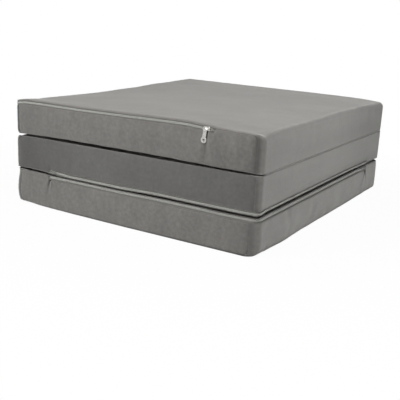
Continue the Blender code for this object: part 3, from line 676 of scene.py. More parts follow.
def grid_normals(grid, centre):
    """Outward directions at a grid's points."""
    along, across = np.gradient(grid, axis=0), np.gradient(grid, axis=1)
    normals = unit(np.cross(along, across))
    outward = np.sum(normals * (grid - centre), axis=-1).mean()
    return normals if outward > 0 else -normals


def border_distances(grid):
    """How far each point lies from the grid's four borders, along its rows and columns."""
    found = []
    for axis in (0, 1):
        steps = np.linalg.norm(np.diff(grid, axis=axis), axis=-1)
        start = np.zeros_like(np.take(steps, [0], axis=axis))
        along = np.concatenate([start, np.cumsum(steps, axis=axis)], axis=axis)
        total = np.take(along, [-1], axis=axis)
        found += [along, total - along]
    return found


def uneven(points, wavelength, seed):
    """A smooth random height over points in space, mostly from -1 to 1."""
    chance = np.random.default_rng(seed)
    directions = unit(chance.normal(size=(WAVES, 3)))
    lengths = wavelength * chance.uniform(0.7, 1.6, (WAVES, 1))
    phases = chance.uniform(0, 2 * math.pi, WAVES)
    return np.cos(points @ (directions / lengths * 2 * math.pi).T + phases).sum(-1) / math.sqrt(WAVES)


def seam_gathers(sizes, borders, seed):
    """Small gathers that run a short way out of each seam."""
    height = np.zeros_like(borders[0])
    for axis, along in ((0, borders[2]), (1, borders[0])):
        line = np.stack([along, np.zeros_like(along), np.full_like(along, seed)], axis=-1)
        waves = uneven(line, 0.013, seed + axis)
        for distance in borders[2 * axis:2 * axis + 2]:
            height += sizes.gather * waves * np.exp(-distance / 0.010) * (1 - np.exp(-distance / 0.0025))
    return height


def zip_creases(section, points):
    """The dimple and the creases where each end of the zip draws the cover in."""
    height = np.zeros(points.shape[:-1])
    centre_z = section.zip_height(ZIP_CENTRE)
    x, y = points[..., 0], points[..., 1]
    ends = {
        "start": (section.zip_end * (x - section.zip_start), section.half_width + y),
        "end": (ZIP_END_ACROSS - y, section.half_length - section.zip_end * x),
    }
    down = -section.zip_face * (points[..., 2] - centre_z)
    for end, (inside, depth) in ends.items():
        there = np.exp(-(depth / 0.012) ** 2)
        creases = CREASES[f"{section.name}_{end}"]
        strongest = max(crease[2] for crease in creases)
        height -= there * strongest * np.exp(-(inside ** 2 + down ** 2) / 0.0035 ** 2)
        for angle, run, deep, wide, start in creases:
            turn = math.radians(angle)
            outward = down * math.cos(turn) + (inside - start) * math.sin(turn)
            beside = (inside - start) * math.cos(turn) - down * math.sin(turn)
            fade = smooth(outward, -0.002, 0.002) * np.exp(-np.maximum(outward, 0) / run)
            width = wide * (1 + np.maximum(outward, 0) / run)
            valley = np.exp(-(beside / width) ** 2)
            ridges = np.exp(-((abs(beside) - 2.1 * width) / width) ** 2)
            height += there * deep * fade * (0.4 * ridges - valley)
    return height


def painted_shade_share(section, part, grid):
    """The painted shade at each of a cover panel's points, as the share of light taken off the velour, and
    painted light where it is negative.
    """
    x, y = grid[..., 0], grid[..., 1]
    name, radius = section.name, section.end_radius
    if part in SIDE_PANELS:
        past_seam = section.half_length - radius - x
        # Painted shade towards the side panels' left end and beside their upright seam
        crushed = LEFT_END_PAINTED_SHADE[name] * smooth(-x, 0.05, 0.33)
        crushed = crushed + SEAM_PAINTED_SHADE[name] * np.exp(-past_seam / 0.016)
    else:
        past_end, past_side = section.half_length - abs(x), section.half_width - abs(y)
        # Painted shade and painted light round the near corners
        corner = np.interp(past_side / radius, CORNER_PLACES, CORNER_PAINTED_SHADE[name])
        crushed = corner * (1 - smooth(past_end, radius, 1.3 * radius))
        # Painted shade on the right end's far part
        crushed += FAR_END_PAINTED_SHADE[name] * smooth(y, -0.05, 0.33) * smooth(-past_end, -0.012, -0.002) * (x > 0)
    # Painted shade along the lowest cover's near edge, above the floor
    if name == "foot":
        low = smooth((section.middle - grid[..., 2]) / section.half_thickness, 0.82, 0.97)
        crushed += FLOOR_EDGE_PAINTED_SHADE * low * smooth(-section.half_width - y, -0.004, -0.001) * (abs(x) < 0.30)
    # Painted shade in the zip's creases, darker where they are deeper
    return crushed + CREASE_PAINTED_SHADE * np.clip(-zip_creases(section, grid) / CREASE_SHADE_DEPTH, 0, 1)


def dressed(section, grid, seed, swelling):
    """The grid with the stuffing's push, the seams' pull, gathers, creases and slow waves."""
    sizes = section.sizes
    normals = grid_normals(grid, np.array([0, 0, section.middle]))
    borders = border_distances(grid)
    nearest = np.minimum.reduce(borders)
    free = 1 - np.exp(-(nearest / 0.02) ** 2)
    height = sizes.unevenness * free * uneven(grid, 0.16, seed)
    height += 0.20 * sizes.unevenness * free * uneven(grid, 0.045, seed + 1)
    height += seam_gathers(sizes, borders, seed + 2)
    height += swelling(grid, normals)
    height *= 1 - HINGE_CALM * beside_hinge(section, grid, -2.0, -1.5)
    up = (grid[..., 2] - section.middle) / section.half_thickness
    rests = smooth(-up, 0.9, 1.0)
    if section.beside_fold(1):
        rests = np.maximum(rests, smooth(up, 0.9, 1.0))
    pull = sizes.seam_pull * np.exp(-nearest / 0.005) * (1 - beside_hinge(section, grid, 0.3, 0.8))
    height = height * (1 - rests) - pull + zip_creases(section, grid)
    made = grid + normals * height[..., None]
    made[..., 2] = np.maximum(made[..., 2], 0.0)
    return made, normals


def beside_hinge(section, grid, low, high):
    """1 on an end of the block that a strip hinges and 0 elsewhere, with a smooth rise over this
    span of the height towards the strip, in half thicknesses from the middle."""
    up = (grid[..., 2] - section.middle) / section.half_thickness
    beside = np.zeros_like(up)
    for face, fold in zip((1, -1), section.folds):
        if fold:
            past_end = section.half_length - (1 if fold == "upper" else -1) * grid[..., 0]
            beside = np.maximum(beside, smooth(face * up, low, high) * (1 - smooth(past_end, 0.002, 0.006)))
    return beside


def with_hems(sizes, grid, normals):
    """The grid with each border turned round a small radius and run into its seam."""
    radius, depth = sizes.hem_radius, sizes.hem_depth
    turns = [(math.sin(t), 1 - math.cos(t), 0) for t in (math.pi / 6, math.pi / 3, math.pi / 2 - 0.04)]
    turns.append((1, 1, 1))
    for axis in (0, 1):
        grid = np.moveaxis(grid, axis, 0)
        normals = np.moveaxis(normals, axis, 0)
        added = {}
        for end, inner in ((0, 1), (-1, -2)):
            out = unit(grid[end] - grid[inner])
            out = unit(out - normals[end] * np.sum(out * normals[end], -1, keepdims=True))
            added[end] = [
                grid[end] + radius * (go * out - down * normals[end]) - depth * deep * normals[end]
                for go, down, deep in turns
            ]
        grid = np.concatenate([added[0][::-1], grid, added[-1]])
        normals = np.concatenate([[normals[0]] * len(turns), normals, [normals[-1]] * len(turns)])
        grid = np.moveaxis(grid, 0, axis)
        normals = np.moveaxis(normals, 0, axis)
    return grid


def finished(mesh, sharp=60):
    """The mesh with its faces pointing out, shaded smooth up to a crease."""
    bm = bmesh.new()
    bm.from_mesh(mesh)
    bmesh.ops.recalc_face_normals(bm, faces=bm.faces)
    if bm.calc_volume(signed=True) < 0:
        bmesh.ops.reverse_faces(bm, faces=bm.faces)
    bm.to_mesh(mesh)
    bm.free()
    mesh.shade_smooth()
    mesh.set_sharp_from_angle(angle=math.radians(sharp))
    return mesh


def new_mesh(name, points, faces):
    """A mesh of these points and faces."""
    mesh = bpy.data.meshes.new(name)
    mesh.from_pydata(np.reshape(points, (-1, 3)).tolist(), [], [list(face) for face in faces])
    return mesh


def sheet_mesh(name, grid, thickness, centre, crushed):
    """A closed sheet of fabric whose outer face is the grid, with the painted shade and painted light at its
    points.
    """
    normals = grid_normals(grid, centre)
    rows, columns = grid.shape[:2]
    count = rows * columns
    index = np.arange(count).reshape(rows, columns)
    quads = np.stack([index[:-1, :-1], index[1:, :-1], index[1:, 1:], index[:-1, 1:]], -1).reshape(-1, 4)
    rim = np.concatenate([index[0, :-1], index[:-1, -1], index[-1, :0:-1], index[:0:-1, 0]])
    after = np.roll(rim, -1)
    walls = np.stack([rim, after, after + count, rim + count], -1)
    faces = np.concatenate([quads, quads[:, ::-1] + count, walls])
    mesh = finished(new_mesh(name, np.stack([grid, grid - normals * thickness]), faces.tolist()))
    # The painted shade and painted light, kept on the mesh for the velour's shader
    pile = mesh.attributes.new("crushed", "FLOAT", "POINT")
    pile.data.foreach_set("value", np.tile(crushed.ravel(), 2).astype(np.float32))
    return mesh


def loft_mesh(name, rings, sharp=60):
    """A closed solid through rings of points, with flat ends."""
    rings = np.asarray(rings)
    count, around = rings.shape[:2]
    index = np.arange(count * around).reshape(count, around)
    after = np.roll(index, -1, axis=1)
    sides = np.stack([index[:-1], after[:-1], after[1:], index[1:]], -1).reshape(-1, 4)
    return finished(new_mesh(name, rings, [*sides.tolist(), index[0].tolist(), index[-1].tolist()]), sharp)


def rods_mesh(name, starts, ends, ups, width, height, sides=6):
    """Many short rods with blunt ends, each flattened towards its own up direction."""
    along = ends - starts
    beside = unit(np.cross(along, ups)) * width / 2
    rise = unit(ups) * height / 2
    angles = 2 * math.pi * np.arange(sides) / sides
    ring = beside[:, None] * np.cos(angles)[None, :, None] + rise[:, None] * np.sin(angles)[None, :, None]
    first = (starts + along * 0.18)[:, None] + ring
    second = (starts + along * 0.82)[:, None] + ring
    points = np.concatenate([starts[:, None], first, second, ends[:, None]], axis=1)
    low = np.arange(1, sides + 1)
    low_next = np.roll(low, -1)
    one = [(0, a, b) for a, b in zip(low_next, low)]
    one += [(a, b, b + sides, a + sides) for a, b in zip(low, low_next)]
    one += [(2 * sides + 1, a + sides, b + sides) for a, b in zip(low, low_next)]
    faces = []
    for n in range(len(starts)):
        base = n * (2 * sides + 2)
        faces += [[int(corner) + base for corner in face] for face in one]
    mesh = new_mesh(name, points, faces)
    mesh.shade_smooth()
    return mesh


def add_piece(name, mesh, body, material, replaced=()):
    """Links a mesh as a piece that rides on a body."""
    piece = bpy.data.objects.new(name, mesh)
    bpy.context.scene.collection.objects.link(piece)
    mesh.materials.append(material)
    if body:
        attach(piece, body)
    if body in SQUEEZED:
        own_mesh(piece)
    if replaced:
        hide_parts(*replaced)
    return piece


def zip_line(section, stations):
    """Points on the zip's centre line this far from its start, with their outward directions."""
    radius = section.end_radius
    corner_x = section.zip_end * (section.half_length - radius)
    corner_y = radius - section.half_width
    near_leg = abs(corner_x - section.zip_start)
    bend = radius * math.pi / 2
    turn = np.clip((stations - near_leg) / radius, 0, math.pi / 2)
    past = np.maximum(stations - near_leg - bend, 0)
    out_x, out_y = section.zip_end * np.sin(turn), -np.cos(turn)
    near_x = section.zip_start + section.zip_end * stations
    x = np.where(stations < near_leg, near_x, corner_x + radius * out_x)
    y = corner_y + radius * out_y + past
    z = np.full_like(x, section.zip_height(ZIP_CENTRE))
    out = np.stack([out_x, out_y, np.zeros_like(x)], axis=-1)
    return np.stack([x, y, z], axis=-1), out


def zip_length(section):
    """The zip's length: along the near side, round the corner and across the end."""
    radius = section.end_radius
    near_leg = abs(section.zip_end * (section.half_length - radius) - section.zip_start)
    return near_leg + radius * math.pi / 2 + ZIP_END_ACROSS - radius + section.half_width


def from_slider_end(section, stations):
    """How far along the zip each station is from the end where the slider rests."""
    return zip_length(section) - stations if section.name == "foot" else stations


def parting(section, stations):
    """How far each half of the coil stands off the centre line: more inside the slider."""
    from_end = from_slider_end(section, stations)
    parted = smooth(from_end, -0.002, 0.001) * (1 - smooth(from_end, SLIDER_REACH - 0.006, SLIDER_REACH))
    return COIL_SLIT / 2 + COIL_PARTING * parted


def coil_rise(section, stations):
    """How far the coil is drawn towards the zipped face, away from the slider."""
    rise = COIL_RISE if section.beside_fold(section.zip_face) else 0
    return section.zip_face * rise * smooth(from_slider_end(section, stations), *COIL_RISE_SPAN)[:, None]


def add_zip_half(section, part, side, tape_material, coil_material):
    """One woven tape, and the loops of the nylon coil that is sewn along it."""
    sizes = section.sizes
    total = zip_length(section)
    stations = np.linspace(-TAPE_END, total + TAPE_END, int(total / TAPE_STEP))
    place, out = zip_line(section, stations)
    upwards = np.array([0, 0, 1])
    across = side * upwards
    inner = parting(section, stations)[:, None]
    reach_out = ZIP_CENTRE - section.edge_radius(side) - TAPE_SEAM if part == "face" else sizes.tape_width
    top, back = -TAPE_DEPTH, -TAPE_DEPTH - TAPE_THICKNESS
    outline = []
    for reach, proud in ((1, top), (0, top), (0, back), (1, back)):
        width = inner + reach * (reach_out - inner)
        risen = upwards * (1 - reach) * coil_rise(section, stations)
        outline.append(place + across * width + risen + out * (proud - TAPE_SINK * (1 - reach)))
    node = f"{section.name}_zip_tape_{part}"
    rings = section.settle(np.stack(outline, axis=1))
    body = section.name + "_section"
    add_piece(node + "_woven", loft_mesh(node, rings, 40), body, tape_material, [node])
    teeth = np.arange(0.25 if side > 0 else 0.75, total / sizes.coil_pitch) * sizes.coil_pitch
    place, out = zip_line(section, teeth)
    inner = parting(section, teeth)[:, None] - COIL_SLIT
    centre = place + out * (COIL_PROUD - COIL_DEPTH / 2) + upwards * coil_rise(section, teeth)
    starts = section.settle(centre + across * inner)
    ends = section.settle(centre + across * sizes.coil_width)
    mesh = rods_mesh(node, starts, ends, out, sizes.coil_pitch * LOOP_FILL, COIL_DEPTH)
    add_piece(f"{section.name}_zip_coil_{part}", mesh, body, coil_material)


def line_inside(grid, normals, end, distance):
    """The line of points this far inside a grid's first or last column, with their outward directions."""
    grid, normals = np.moveaxis(grid, 1, 0), np.moveaxis(normals, 1, 0)
    if end:
        grid, normals = grid[::-1], normals[::-1]
    steps = np.linalg.norm(np.diff(grid[:12], axis=0), axis=-1)
    along = np.concatenate([np.zeros((1, grid.shape[1])), np.cumsum(steps, axis=0)])
    line, ups = [], []
    for n in range(grid.shape[1]):
        line.append([np.interp(distance, along[:, n], grid[:12, n, k]) for k in range(3)])
        ups.append([np.interp(distance, along[:, n], normals[:12, n, k]) for k in range(3)])
    return np.array(line), unit(np.array(ups))


def add_stitches(name, line, ups, sizes, body, material):
    """A row of topstitches along a line on the cover."""
    along = np.concatenate([[0], np.cumsum(np.linalg.norm(np.diff(line, axis=0), axis=1))])
    pitch = sizes.stitch * STITCH_PITCH
    starts_at = np.arange(pitch / 2, along[-1] - pitch, pitch)
    picks = []
    for at in (starts_at, starts_at + sizes.stitch):
        picks.append(np.stack([np.interp(at, along, line[:, k]) for k in range(3)], axis=-1))
    up = unit(np.stack([np.interp(starts_at, along, ups[:, k]) for k in range(3)], axis=-1))
    raised = up * STITCH_RISE
    mesh = rods_mesh(name, picks[0] + raised, picks[1] + raised, up, THREAD_WIDTH, THREAD_HEIGHT)
    add_piece(name, mesh, body, material)


def add_bar_tack(section, end, material):
    """A dense bar of zigzag stitches that closes one end of the zip."""
    total = zip_length(section)
    at = (0 if end == "start" else total) + np.arange(-3, 4) * TACK_STEP
    place, out = zip_line(section, at)
    place = place + out * TACK_PROUD
    half = np.array([0, 0, TACK_HALF])
    slant = np.where(np.arange(len(at)) % 2, 1, -1)[:, None] * np.array([0.0, 0.0, TACK_SLANT])
    low, high = section.settle(place - half + slant), section.settle(place + half + slant)
    name = f"{section.name}_zip_bar_tack_{end}"
    mesh = rods_mesh(name, low, high, out, THREAD_WIDTH, THREAD_WIDTH)
    add_piece(name, mesh, section.name + "_section", material)


def add_node(tree, kind, settings=None, **inputs):
    """Adds a shader node. An input is named, or numbered as i0, and takes a value or a socket."""
    made = tree.nodes.new(kind)
    for key, value in (settings or {}).items():
        setattr(made, key, value)
    for key, value in inputs.items():
        numbered = key[0] == "i" and key[1:].isdigit()
        socket = made.inputs[int(key[1:])] if numbered else made.inputs[key.replace("_", " ")]
        if isinstance(value, bpy.types.NodeSocket):
            tree.links.new(value, socket)
        else:
            socket.default_value = value
    return made


def new_material(name, roughness, metallic=0.0):
    """A material with its node tree and shader."""
    made = bpy.data.materials.new(name)
    made.use_nodes = True
    shader = made.node_tree.nodes["Principled BSDF"]
    shader.inputs["Roughness"].default_value = roughness
    shader.inputs["Metallic"].default_value = metallic
    return made, made.node_tree, shader


def toned(tree, shader, base, tones):
    """Sets a shader's colour to the base multiplied by each of the tones."""
    product = tones[0]
    for tone in tones[1:]:
        product = add_node(tree, "ShaderNodeMath", {"operation": "MULTIPLY"}, i0=product, i1=tone).outputs[0]
    tint = add_node(tree, "ShaderNodeVectorMath", {"operation": "SCALE"}, i0=tuple(base), Scale=product)
    tree.links.new(tint.outputs["Vector"], shader.inputs["Base Color"])


def tone_from(tree, place, size, spread, detail=3.0, distortion=0.0):
    """A noise whose patches are this size in metres, as a tone that spreads evenly about 1."""
    noise = add_node(
        tree, "ShaderNodeTexNoise", Vector=place, Scale=1 / size, Detail=detail, Roughness=0.55,
        Distortion=distortion,
    )
    tone = add_node(
        tree, "ShaderNodeMapRange", i0=noise.outputs["Fac"], i1=0.3, i2=0.7, i3=1 - spread, i4=1 + spread
    )
    return tone.outputs["Result"], noise.outputs["Fac"]


def velour_material(name, base, stroked, mottled):
    """Brushed short-pile polyester velour: the pile's nap lies in soft patches and upright streaks
    that hands have stroked, each tuft catches light by itself, and the pile is pale at its rim.

    Stroked and mottled say how far the streaks and the flecks spread from the base colour."""
    made, tree, shader = new_material(name, 0.95)
    place = add_node(tree, "ShaderNodeTexCoord").outputs["Object"]
    # Patches of 90 mm, streaks 24 mm wide and 60 mm high, and flecks of 8 mm. Real tufts stand
    # about 0.5 mm apart, too fine to show, so they are drawn 1.3 mm apart
    upright = add_node(tree, "ShaderNodeMapping", Vector=place, Scale=(1.0, 1.0, 0.4)).outputs["Vector"]
    patches, _ = tone_from(tree, place, 0.09, 0.06)
    streaks, _ = tone_from(tree, upright, 0.024, stroked, detail=4.0, distortion=0.8)
    flecks, _ = tone_from(tree, place, 0.0080, mottled)
    tufts, pile = tone_from(tree, place, 0.0013, 0.09, detail=2.0)
    # Painted shade and painted light from each panel's mesh: it darkens the colour and the sheen alike, and
    # lightens them where it is negative
    crushed = add_node(tree, "ShaderNodeAttribute", {"attribute_name": "crushed"}).outputs["Fac"]
    lit_share = add_node(tree, "ShaderNodeMath", {"operation": "SUBTRACT"}, i0=1.0, i1=crushed).outputs[0]
    toned(tree, shader, base, (patches, streaks, flecks, tufts, lit_share))
    bump = add_node(tree, "ShaderNodeBump", Strength=0.4, Distance=0.0004, Height=pile)
    tree.links.new(bump.outputs["Normal"], shader.inputs["Normal"])
    shader.inputs["Specular IOR Level"].default_value = 0.15
    tree.links.new(lit_share, shader.inputs["Sheen Weight"])
    shader.inputs["Sheen Roughness"].default_value = 0.5
    shader.inputs["Sheen Tint"].default_value = (0.92, 0.91, 0.88, 1)
    return made


# The wave texture's scale at which its bands are 1 metre apart
WAVE_BANDS = 0.3


def woven_material(name, base, thread):
    """Woven polyester: fine warp and weft ribs, a thread's spacing apart, that soften its light."""
    made, tree, shader = new_material(name, 0.7)
    place = add_node(tree, "ShaderNodeTexCoord").outputs["Object"]
    weft = add_node(
        tree, "ShaderNodeTexWave", {"bands_direction": "DIAGONAL"}, Vector=place,
        Scale=WAVE_BANDS / thread, Distortion=0.4,
    )
    # The colour is darker between the ribs, where the bump sinks: painted shade of the weave
    tone = add_node(tree, "ShaderNodeMapRange", i0=weft.outputs["Fac"], i1=0.0, i2=1.0, i3=0.86, i4=1.08)
    soil, _ = tone_from(tree, place, 0.03, 0.04)
    toned(tree, shader, base, (tone.outputs["Result"], soil))
    bump = add_node(tree, "ShaderNodeBump", Strength=0.5, Distance=0.0002, Height=weft.outputs["Fac"])
    tree.links.new(bump.outputs["Normal"], shader.inputs["Normal"])
    return made


def nylon_material(name, base):
    """Extruded nylon monofilament: pale, slightly glossy, a little uneven where it was wound."""
    made, tree, shader = new_material(name, 0.35)
    place = add_node(tree, "ShaderNodeTexCoord").outputs["Object"]
    # The winding's unevenness spans about four loops of the coil
    wound, _ = tone_from(tree, place, 0.006, 0.05)
    toned(tree, shader, base, (wound,))
    shader.inputs["IOR"].default_value = 1.53
    return made


def foam_material(name, base):
    """Open-cell polyurethane foam: cut with a wire, matt, pocked by its cells."""
    made, tree, shader = new_material(name, 1.0)
    place = add_node(tree, "ShaderNodeTexCoord").outputs["Object"]
    # Real cells are about 0.5 mm wide, too fine to show, so they are drawn 1.2 mm wide
    cells = add_node(tree, "ShaderNodeTexVoronoi", Vector=place, Scale=1 / 0.0012)
    depth = cells.outputs["Distance"]
    # The colour is darker in each cell's pit, where the bump sinks: painted shade
    tone = add_node(tree, "ShaderNodeMapRange", i0=depth, i1=0.0, i2=0.7, i3=0.82, i4=1.04)
    toned(tree, shader, base, (tone.outputs["Result"],))
    bump = add_node(tree, "ShaderNodeBump", Strength=0.6, Distance=0.0004, Height=depth)
    tree.links.new(bump.outputs["Normal"], shader.inputs["Normal"])
    return made


def plated_material(name, base):
    """Bright nickel over tumbled zinc: mirror-like, softened by fine scratches."""
    made, tree, shader = new_material(name, 0.22, 1.0)
    place = add_node(tree, "ShaderNodeTexCoord").outputs["Object"]
    # Tumbling leaves marks of about 0.1 mm, too fine to show, so they are drawn 1.6 mm wide
    # The colour is darker where the marks sink, with the bump: painted shade in them
    marks_shade, grain = tone_from(tree, place, 0.0016, 0.06)
    toned(tree, shader, base, (marks_shade,))
    rough = add_node(tree, "ShaderNodeMapRange", i0=grain, i1=0.3, i2=0.7, i3=0.16, i4=0.34)
    tree.links.new(rough.outputs["Result"], shader.inputs["Roughness"])
    bump = add_node(tree, "ShaderNodeBump", Strength=0.15, Distance=0.0001, Height=grain)
    tree.links.new(bump.outputs["Normal"], shader.inputs["Normal"])
    return made


def lacquer_material(name, base):
    """Sprayed grey lacquer over die-cast zinc: a low gloss with a faint orange peel."""
    made, tree, shader = new_material(name, 0.4)
    place = add_node(tree, "ShaderNodeTexCoord").outputs["Object"]
    # The orange peel of a sprayed coat, 1.2 mm from dimple to dimple
    tone, peel = tone_from(tree, place, 0.0012, 0.03)
    # The colour is darker in the dimples, where the bump sinks: painted shade
    toned(tree, shader, base, (tone,))
    bump = add_node(tree, "ShaderNodeBump", Strength=0.2, Distance=0.0001, Height=peel)
    tree.links.new(bump.outputs["Normal"], shader.inputs["Normal"])
    shader.inputs["Coat Weight"].default_value = 0.3
    return made


# Stuffed velour as cloth, pressed out by the foam and cut 0.4 % too large for it. It runs for a
# set number of frames.
CLOTH = dict(
    use_pressure=True, uniform_pressure_force=4, shrink_min=-0.004, mass=0.2,
    tension_stiffness=20, compression_stiffness=20, bending_stiffness=0.4,
)
CLOTH_SPACING = 0.0125
CLOTH_FRAMES = 20


def block_faces(section, spacing):
    """The stuffed block's six faces as one closed mesh, with its sewn edges in a pin group."""
    half = np.array([section.half_length, section.half_width, section.half_thickness])
    counts = np.maximum(np.ceil(2 * half / spacing).astype(int), 1)
    bm = bmesh.new()
    for axis in range(3):
        first, second = [n for n in range(3) if n != axis]
        for sign in (-1, 1):
            grid = []
            for u in np.linspace(-1, 1, counts[first] + 1):
                row = []
                for v in np.linspace(-1, 1, counts[second] + 1):
                    point = [0, 0, 0]
                    point[axis], point[first], point[second] = sign, u, v
                    row.append(bm.verts.new(point))
                grid.append(row)
            for row, after in zip(grid, grid[1:]):
                for a, b, c, d in zip(row, row[1:], after[1:], after):
                    bm.faces.new((a, b, c, d))
    bmesh.ops.remove_doubles(bm, verts=bm.verts, dist=1e-5)
    bmesh.ops.recalc_face_normals(bm, faces=bm.faces)
    mesh = bpy.data.meshes.new("stuffing")
    bm.to_mesh(mesh)
    bm.free()
    shares = np.array([vert.co for vert in mesh.vertices])
    sewn = np.flatnonzero((abs(shares) > 0.999).sum(axis=1) > 1)
    points = section.stuff(shares * half + (0, 0, section.middle))
    mesh.vertices.foreach_set("co", points.astype(np.float32).ravel())
    mesh.update()
    return mesh, points, sewn


def simulated_swelling(section):
    """Swells the cover as cloth that is held at its seams, and gives its push at any point."""
    limit = section.sizes.swell_limit
    mesh, before, sewn = block_faces(section, CLOTH_SPACING)
    cover = bpy.data.objects.new("stuffing", mesh)
    scene = bpy.context.scene
    scene.collection.objects.link(cover)
    seams = cover.vertex_groups.new(name="seams")
    seams.add(sewn.tolist(), 1.0, "REPLACE")
    cloth = cover.modifiers.new("cloth", "CLOTH")
    cloth.settings.vertex_group_mass = "seams"
    for key, value in CLOTH.items():
        setattr(cloth.settings, key, value)
    cloth.settings.effector_weights.gravity = 0
    cloth.collision_settings.use_collision = False
    cloth.point_cache.frame_start = 1
    cloth.point_cache.frame_end = CLOTH_FRAMES
    for number in range(1, CLOTH_FRAMES + 1):
        scene.frame_set(number)
    swollen = cover.evaluated_get(bpy.context.evaluated_depsgraph_get()).to_mesh()
    after = np.array([vert.co for vert in swollen.vertices])
    faces = [list(face.vertices) for face in mesh.polygons]
    bpy.data.objects.remove(cover)
    scene.frame_set(1)
    tree = BVHTree.FromPolygons(before.tolist(), faces)
    moved = after - before

    def push(points, normals):
        """How far the swollen cover pushes each point along its outward direction."""
        found = np.zeros(points.shape[:-1])
        for place in np.ndindex(found.shape):
            spot, _, face, _ = tree.find_nearest(points[place].tolist())
            corners = faces[face]
            weights = 1 / (np.linalg.norm(before[corners] - np.array(spot), axis=1) + 1e-4) ** 2
            away = (moved[corners] * weights[:, None]).sum(0) / weights.sum()
            found[place] = away @ normals[place]
        return limit * np.tanh(found / limit)

    return push


class MATTRESS_OT_covers(Operator):
    """Build the velour cover panels round the three sections, and topstitch their zipped edges"""

    bl_idname = "mattress.covers"
    bl_label = "Cover panels"

    def execute(self, context):
        sizes, colours = context.scene.mattress_sizes, context.scene.mattress_colours
        wrapped = velour_material("brushed_velour", colours.velour, 0.05, 0.09)
        sides = velour_material("brushed_velour_sides", colours.velour, 0.10, 0.16)
        # The middle section's sides take the darker copy of the velour, painted shade for their nap
        nap_down = velour_material("brushed_velour_nap_down", colours.velour_down_painted_shade, 0.08, 0.13)
        side_velours = {"foot": sides, "middle": nap_down, "head": sides}
        thread = woven_material("spun_polyester_thread", colours.thread, 0.0004)
        for number, name in enumerate(SECTIONS):
            section = Section(name, sizes)
            body = name + "_section"
            swelling = simulated_swelling(section)
            grids = {part: wrapped_grid(section, run) for part, run in WRAPPED[name].items()}
            grids |= {part: side_grid(section, sign) for part, sign in SIDE_PANELS.items()}
            for n, (part, grid) in enumerate(grids.items()):
                shaped, normals = dressed(section, grid, 10 * number + n, swelling)
                node = f"{name}_cover_{part}"
                hemmed = with_hems(sizes, shaped, normals)
                # The panel's painted shade and painted light
                crushed = painted_shade_share(section, part, hemmed)
                mesh = sheet_mesh(node, hemmed, sizes.fabric, np.array([0, 0, section.middle]), crushed)
                velour = side_velours[name] if part in SIDE_PANELS else wrapped
                piece = add_piece(node + "_velour", mesh, body, velour, [node])
                zipped = zipped_border(section, part)
                if zipped is not None:
                    line, ups = line_inside(shaped, normals, zipped, STITCH_INSET)
                    inside = zipped_stretch(section, part, line)
                    add_stitches(f"{name}_topstitch_{part}", line[inside], ups[inside], sizes, body, thread)
            for end in ("start", "end"):
                add_bar_tack(section, end, thread)
        return {"FINISHED"}


def zipped_border(section, part):
    """Which end of a panel's rows runs along the zip: 0 for the first, 1 for the last, or None."""
    if part == "near_side":
        return int(section.zip_face > 0)
    run = WRAPPED[section.name].get(part, ())
    if "zip" not in run:
        return None
    return 0 if run[0] == "zip" else 1


def zipped_stretch(section, part, line):
    """Which of a line's points lie beside the open length of the zip."""
    if part == "near_side":
        return (line[:, 0] - section.zip_start) * section.zip_end > STITCH_END
    y = line[:, 1]
    return (y < ZIP_END_ACROSS - STITCH_END) & (y > section.end_radius * 0.3 - section.half_width)


class MATTRESS_OT_zips(Operator):
    """Build the three coil zips' tapes and loops"""

    bl_idname = "mattress.zips"
    bl_label = "Coil zips"

    def execute(self, context):
        sizes, colours = context.scene.mattress_sizes, context.scene.mattress_colours
        tape = woven_material("woven_polyester_tape", colours.tape, 0.0006)
        coil = nylon_material("extruded_nylon_coil", colours.coil)
        for name in SECTIONS:
            section = Section(name, sizes)
            add_zip_half(section, "face", section.zip_face, tape, coil)
            add_zip_half(section, "side", -section.zip_face, tape, coil)
        return {"FINISHED"}


class MATTRESS_OT_foam(Operator):
    """Build the foam blocks inside the covers"""

    bl_idname = "mattress.foam"
    bl_label = "Foam blocks"

    def execute(self, context):
        sizes = context.scene.mattress_sizes
        foam = foam_material("open_cell_foam", context.scene.mattress_colours.foam)
        for name in SECTIONS:
            section = Section(name, sizes)
            block = name + "_foam_block"
            mesh = loft_mesh(block, foam_rings(section))
            piece = add_piece(block, mesh, name + "_section", foam, [name + "_foam_core"])
        return {"FINISHED"}


# How far the foam's outside lies inside the cover's
FOAM_INSET = 0.0048


def foam_rings(section):
    """The foam block's outlines across the mattress, its upright corners rounded."""
    radius = max(section.end_radius - FOAM_INSET, 0.004)
    turns = np.linspace(0, math.pi / 2, 7)
    reach = section.half_width - FOAM_INSET
    ends = [(reach - radius * (1 - math.sin(turn)), radius * (1 - math.cos(turn))) for turn in turns]
    flat = (graded(2 * (reach - radius), 0.010, 0.010) * 2 - 1)[1:-1] * (reach - radius)
    stations = [(-y, drawn) for y, drawn in reversed(ends)] + [(y, 0) for y in flat] + ends
    rings = []
    for y, drawn in stations:
        ring = []
        for corner in CORNERS:
            round_off = max(section.radii[corner] - FOAM_INSET, 0.001)
            arc = corner_arc(section, corner, FOAM_INSET + drawn, FOAM_INSET, round_off)[:, :2]
            if ring:
                ring.append(ring[-1][-1] + (arc[0] - ring[-1][-1]) * np.linspace(0, 1, 12)[1:-1, None])
            ring.append(arc)
        ring = np.concatenate(ring)
        rings.append(np.stack([ring[:, 0], np.full(len(ring), y), ring[:, 1]], axis=-1))
    return section.stuff(np.array(rings))


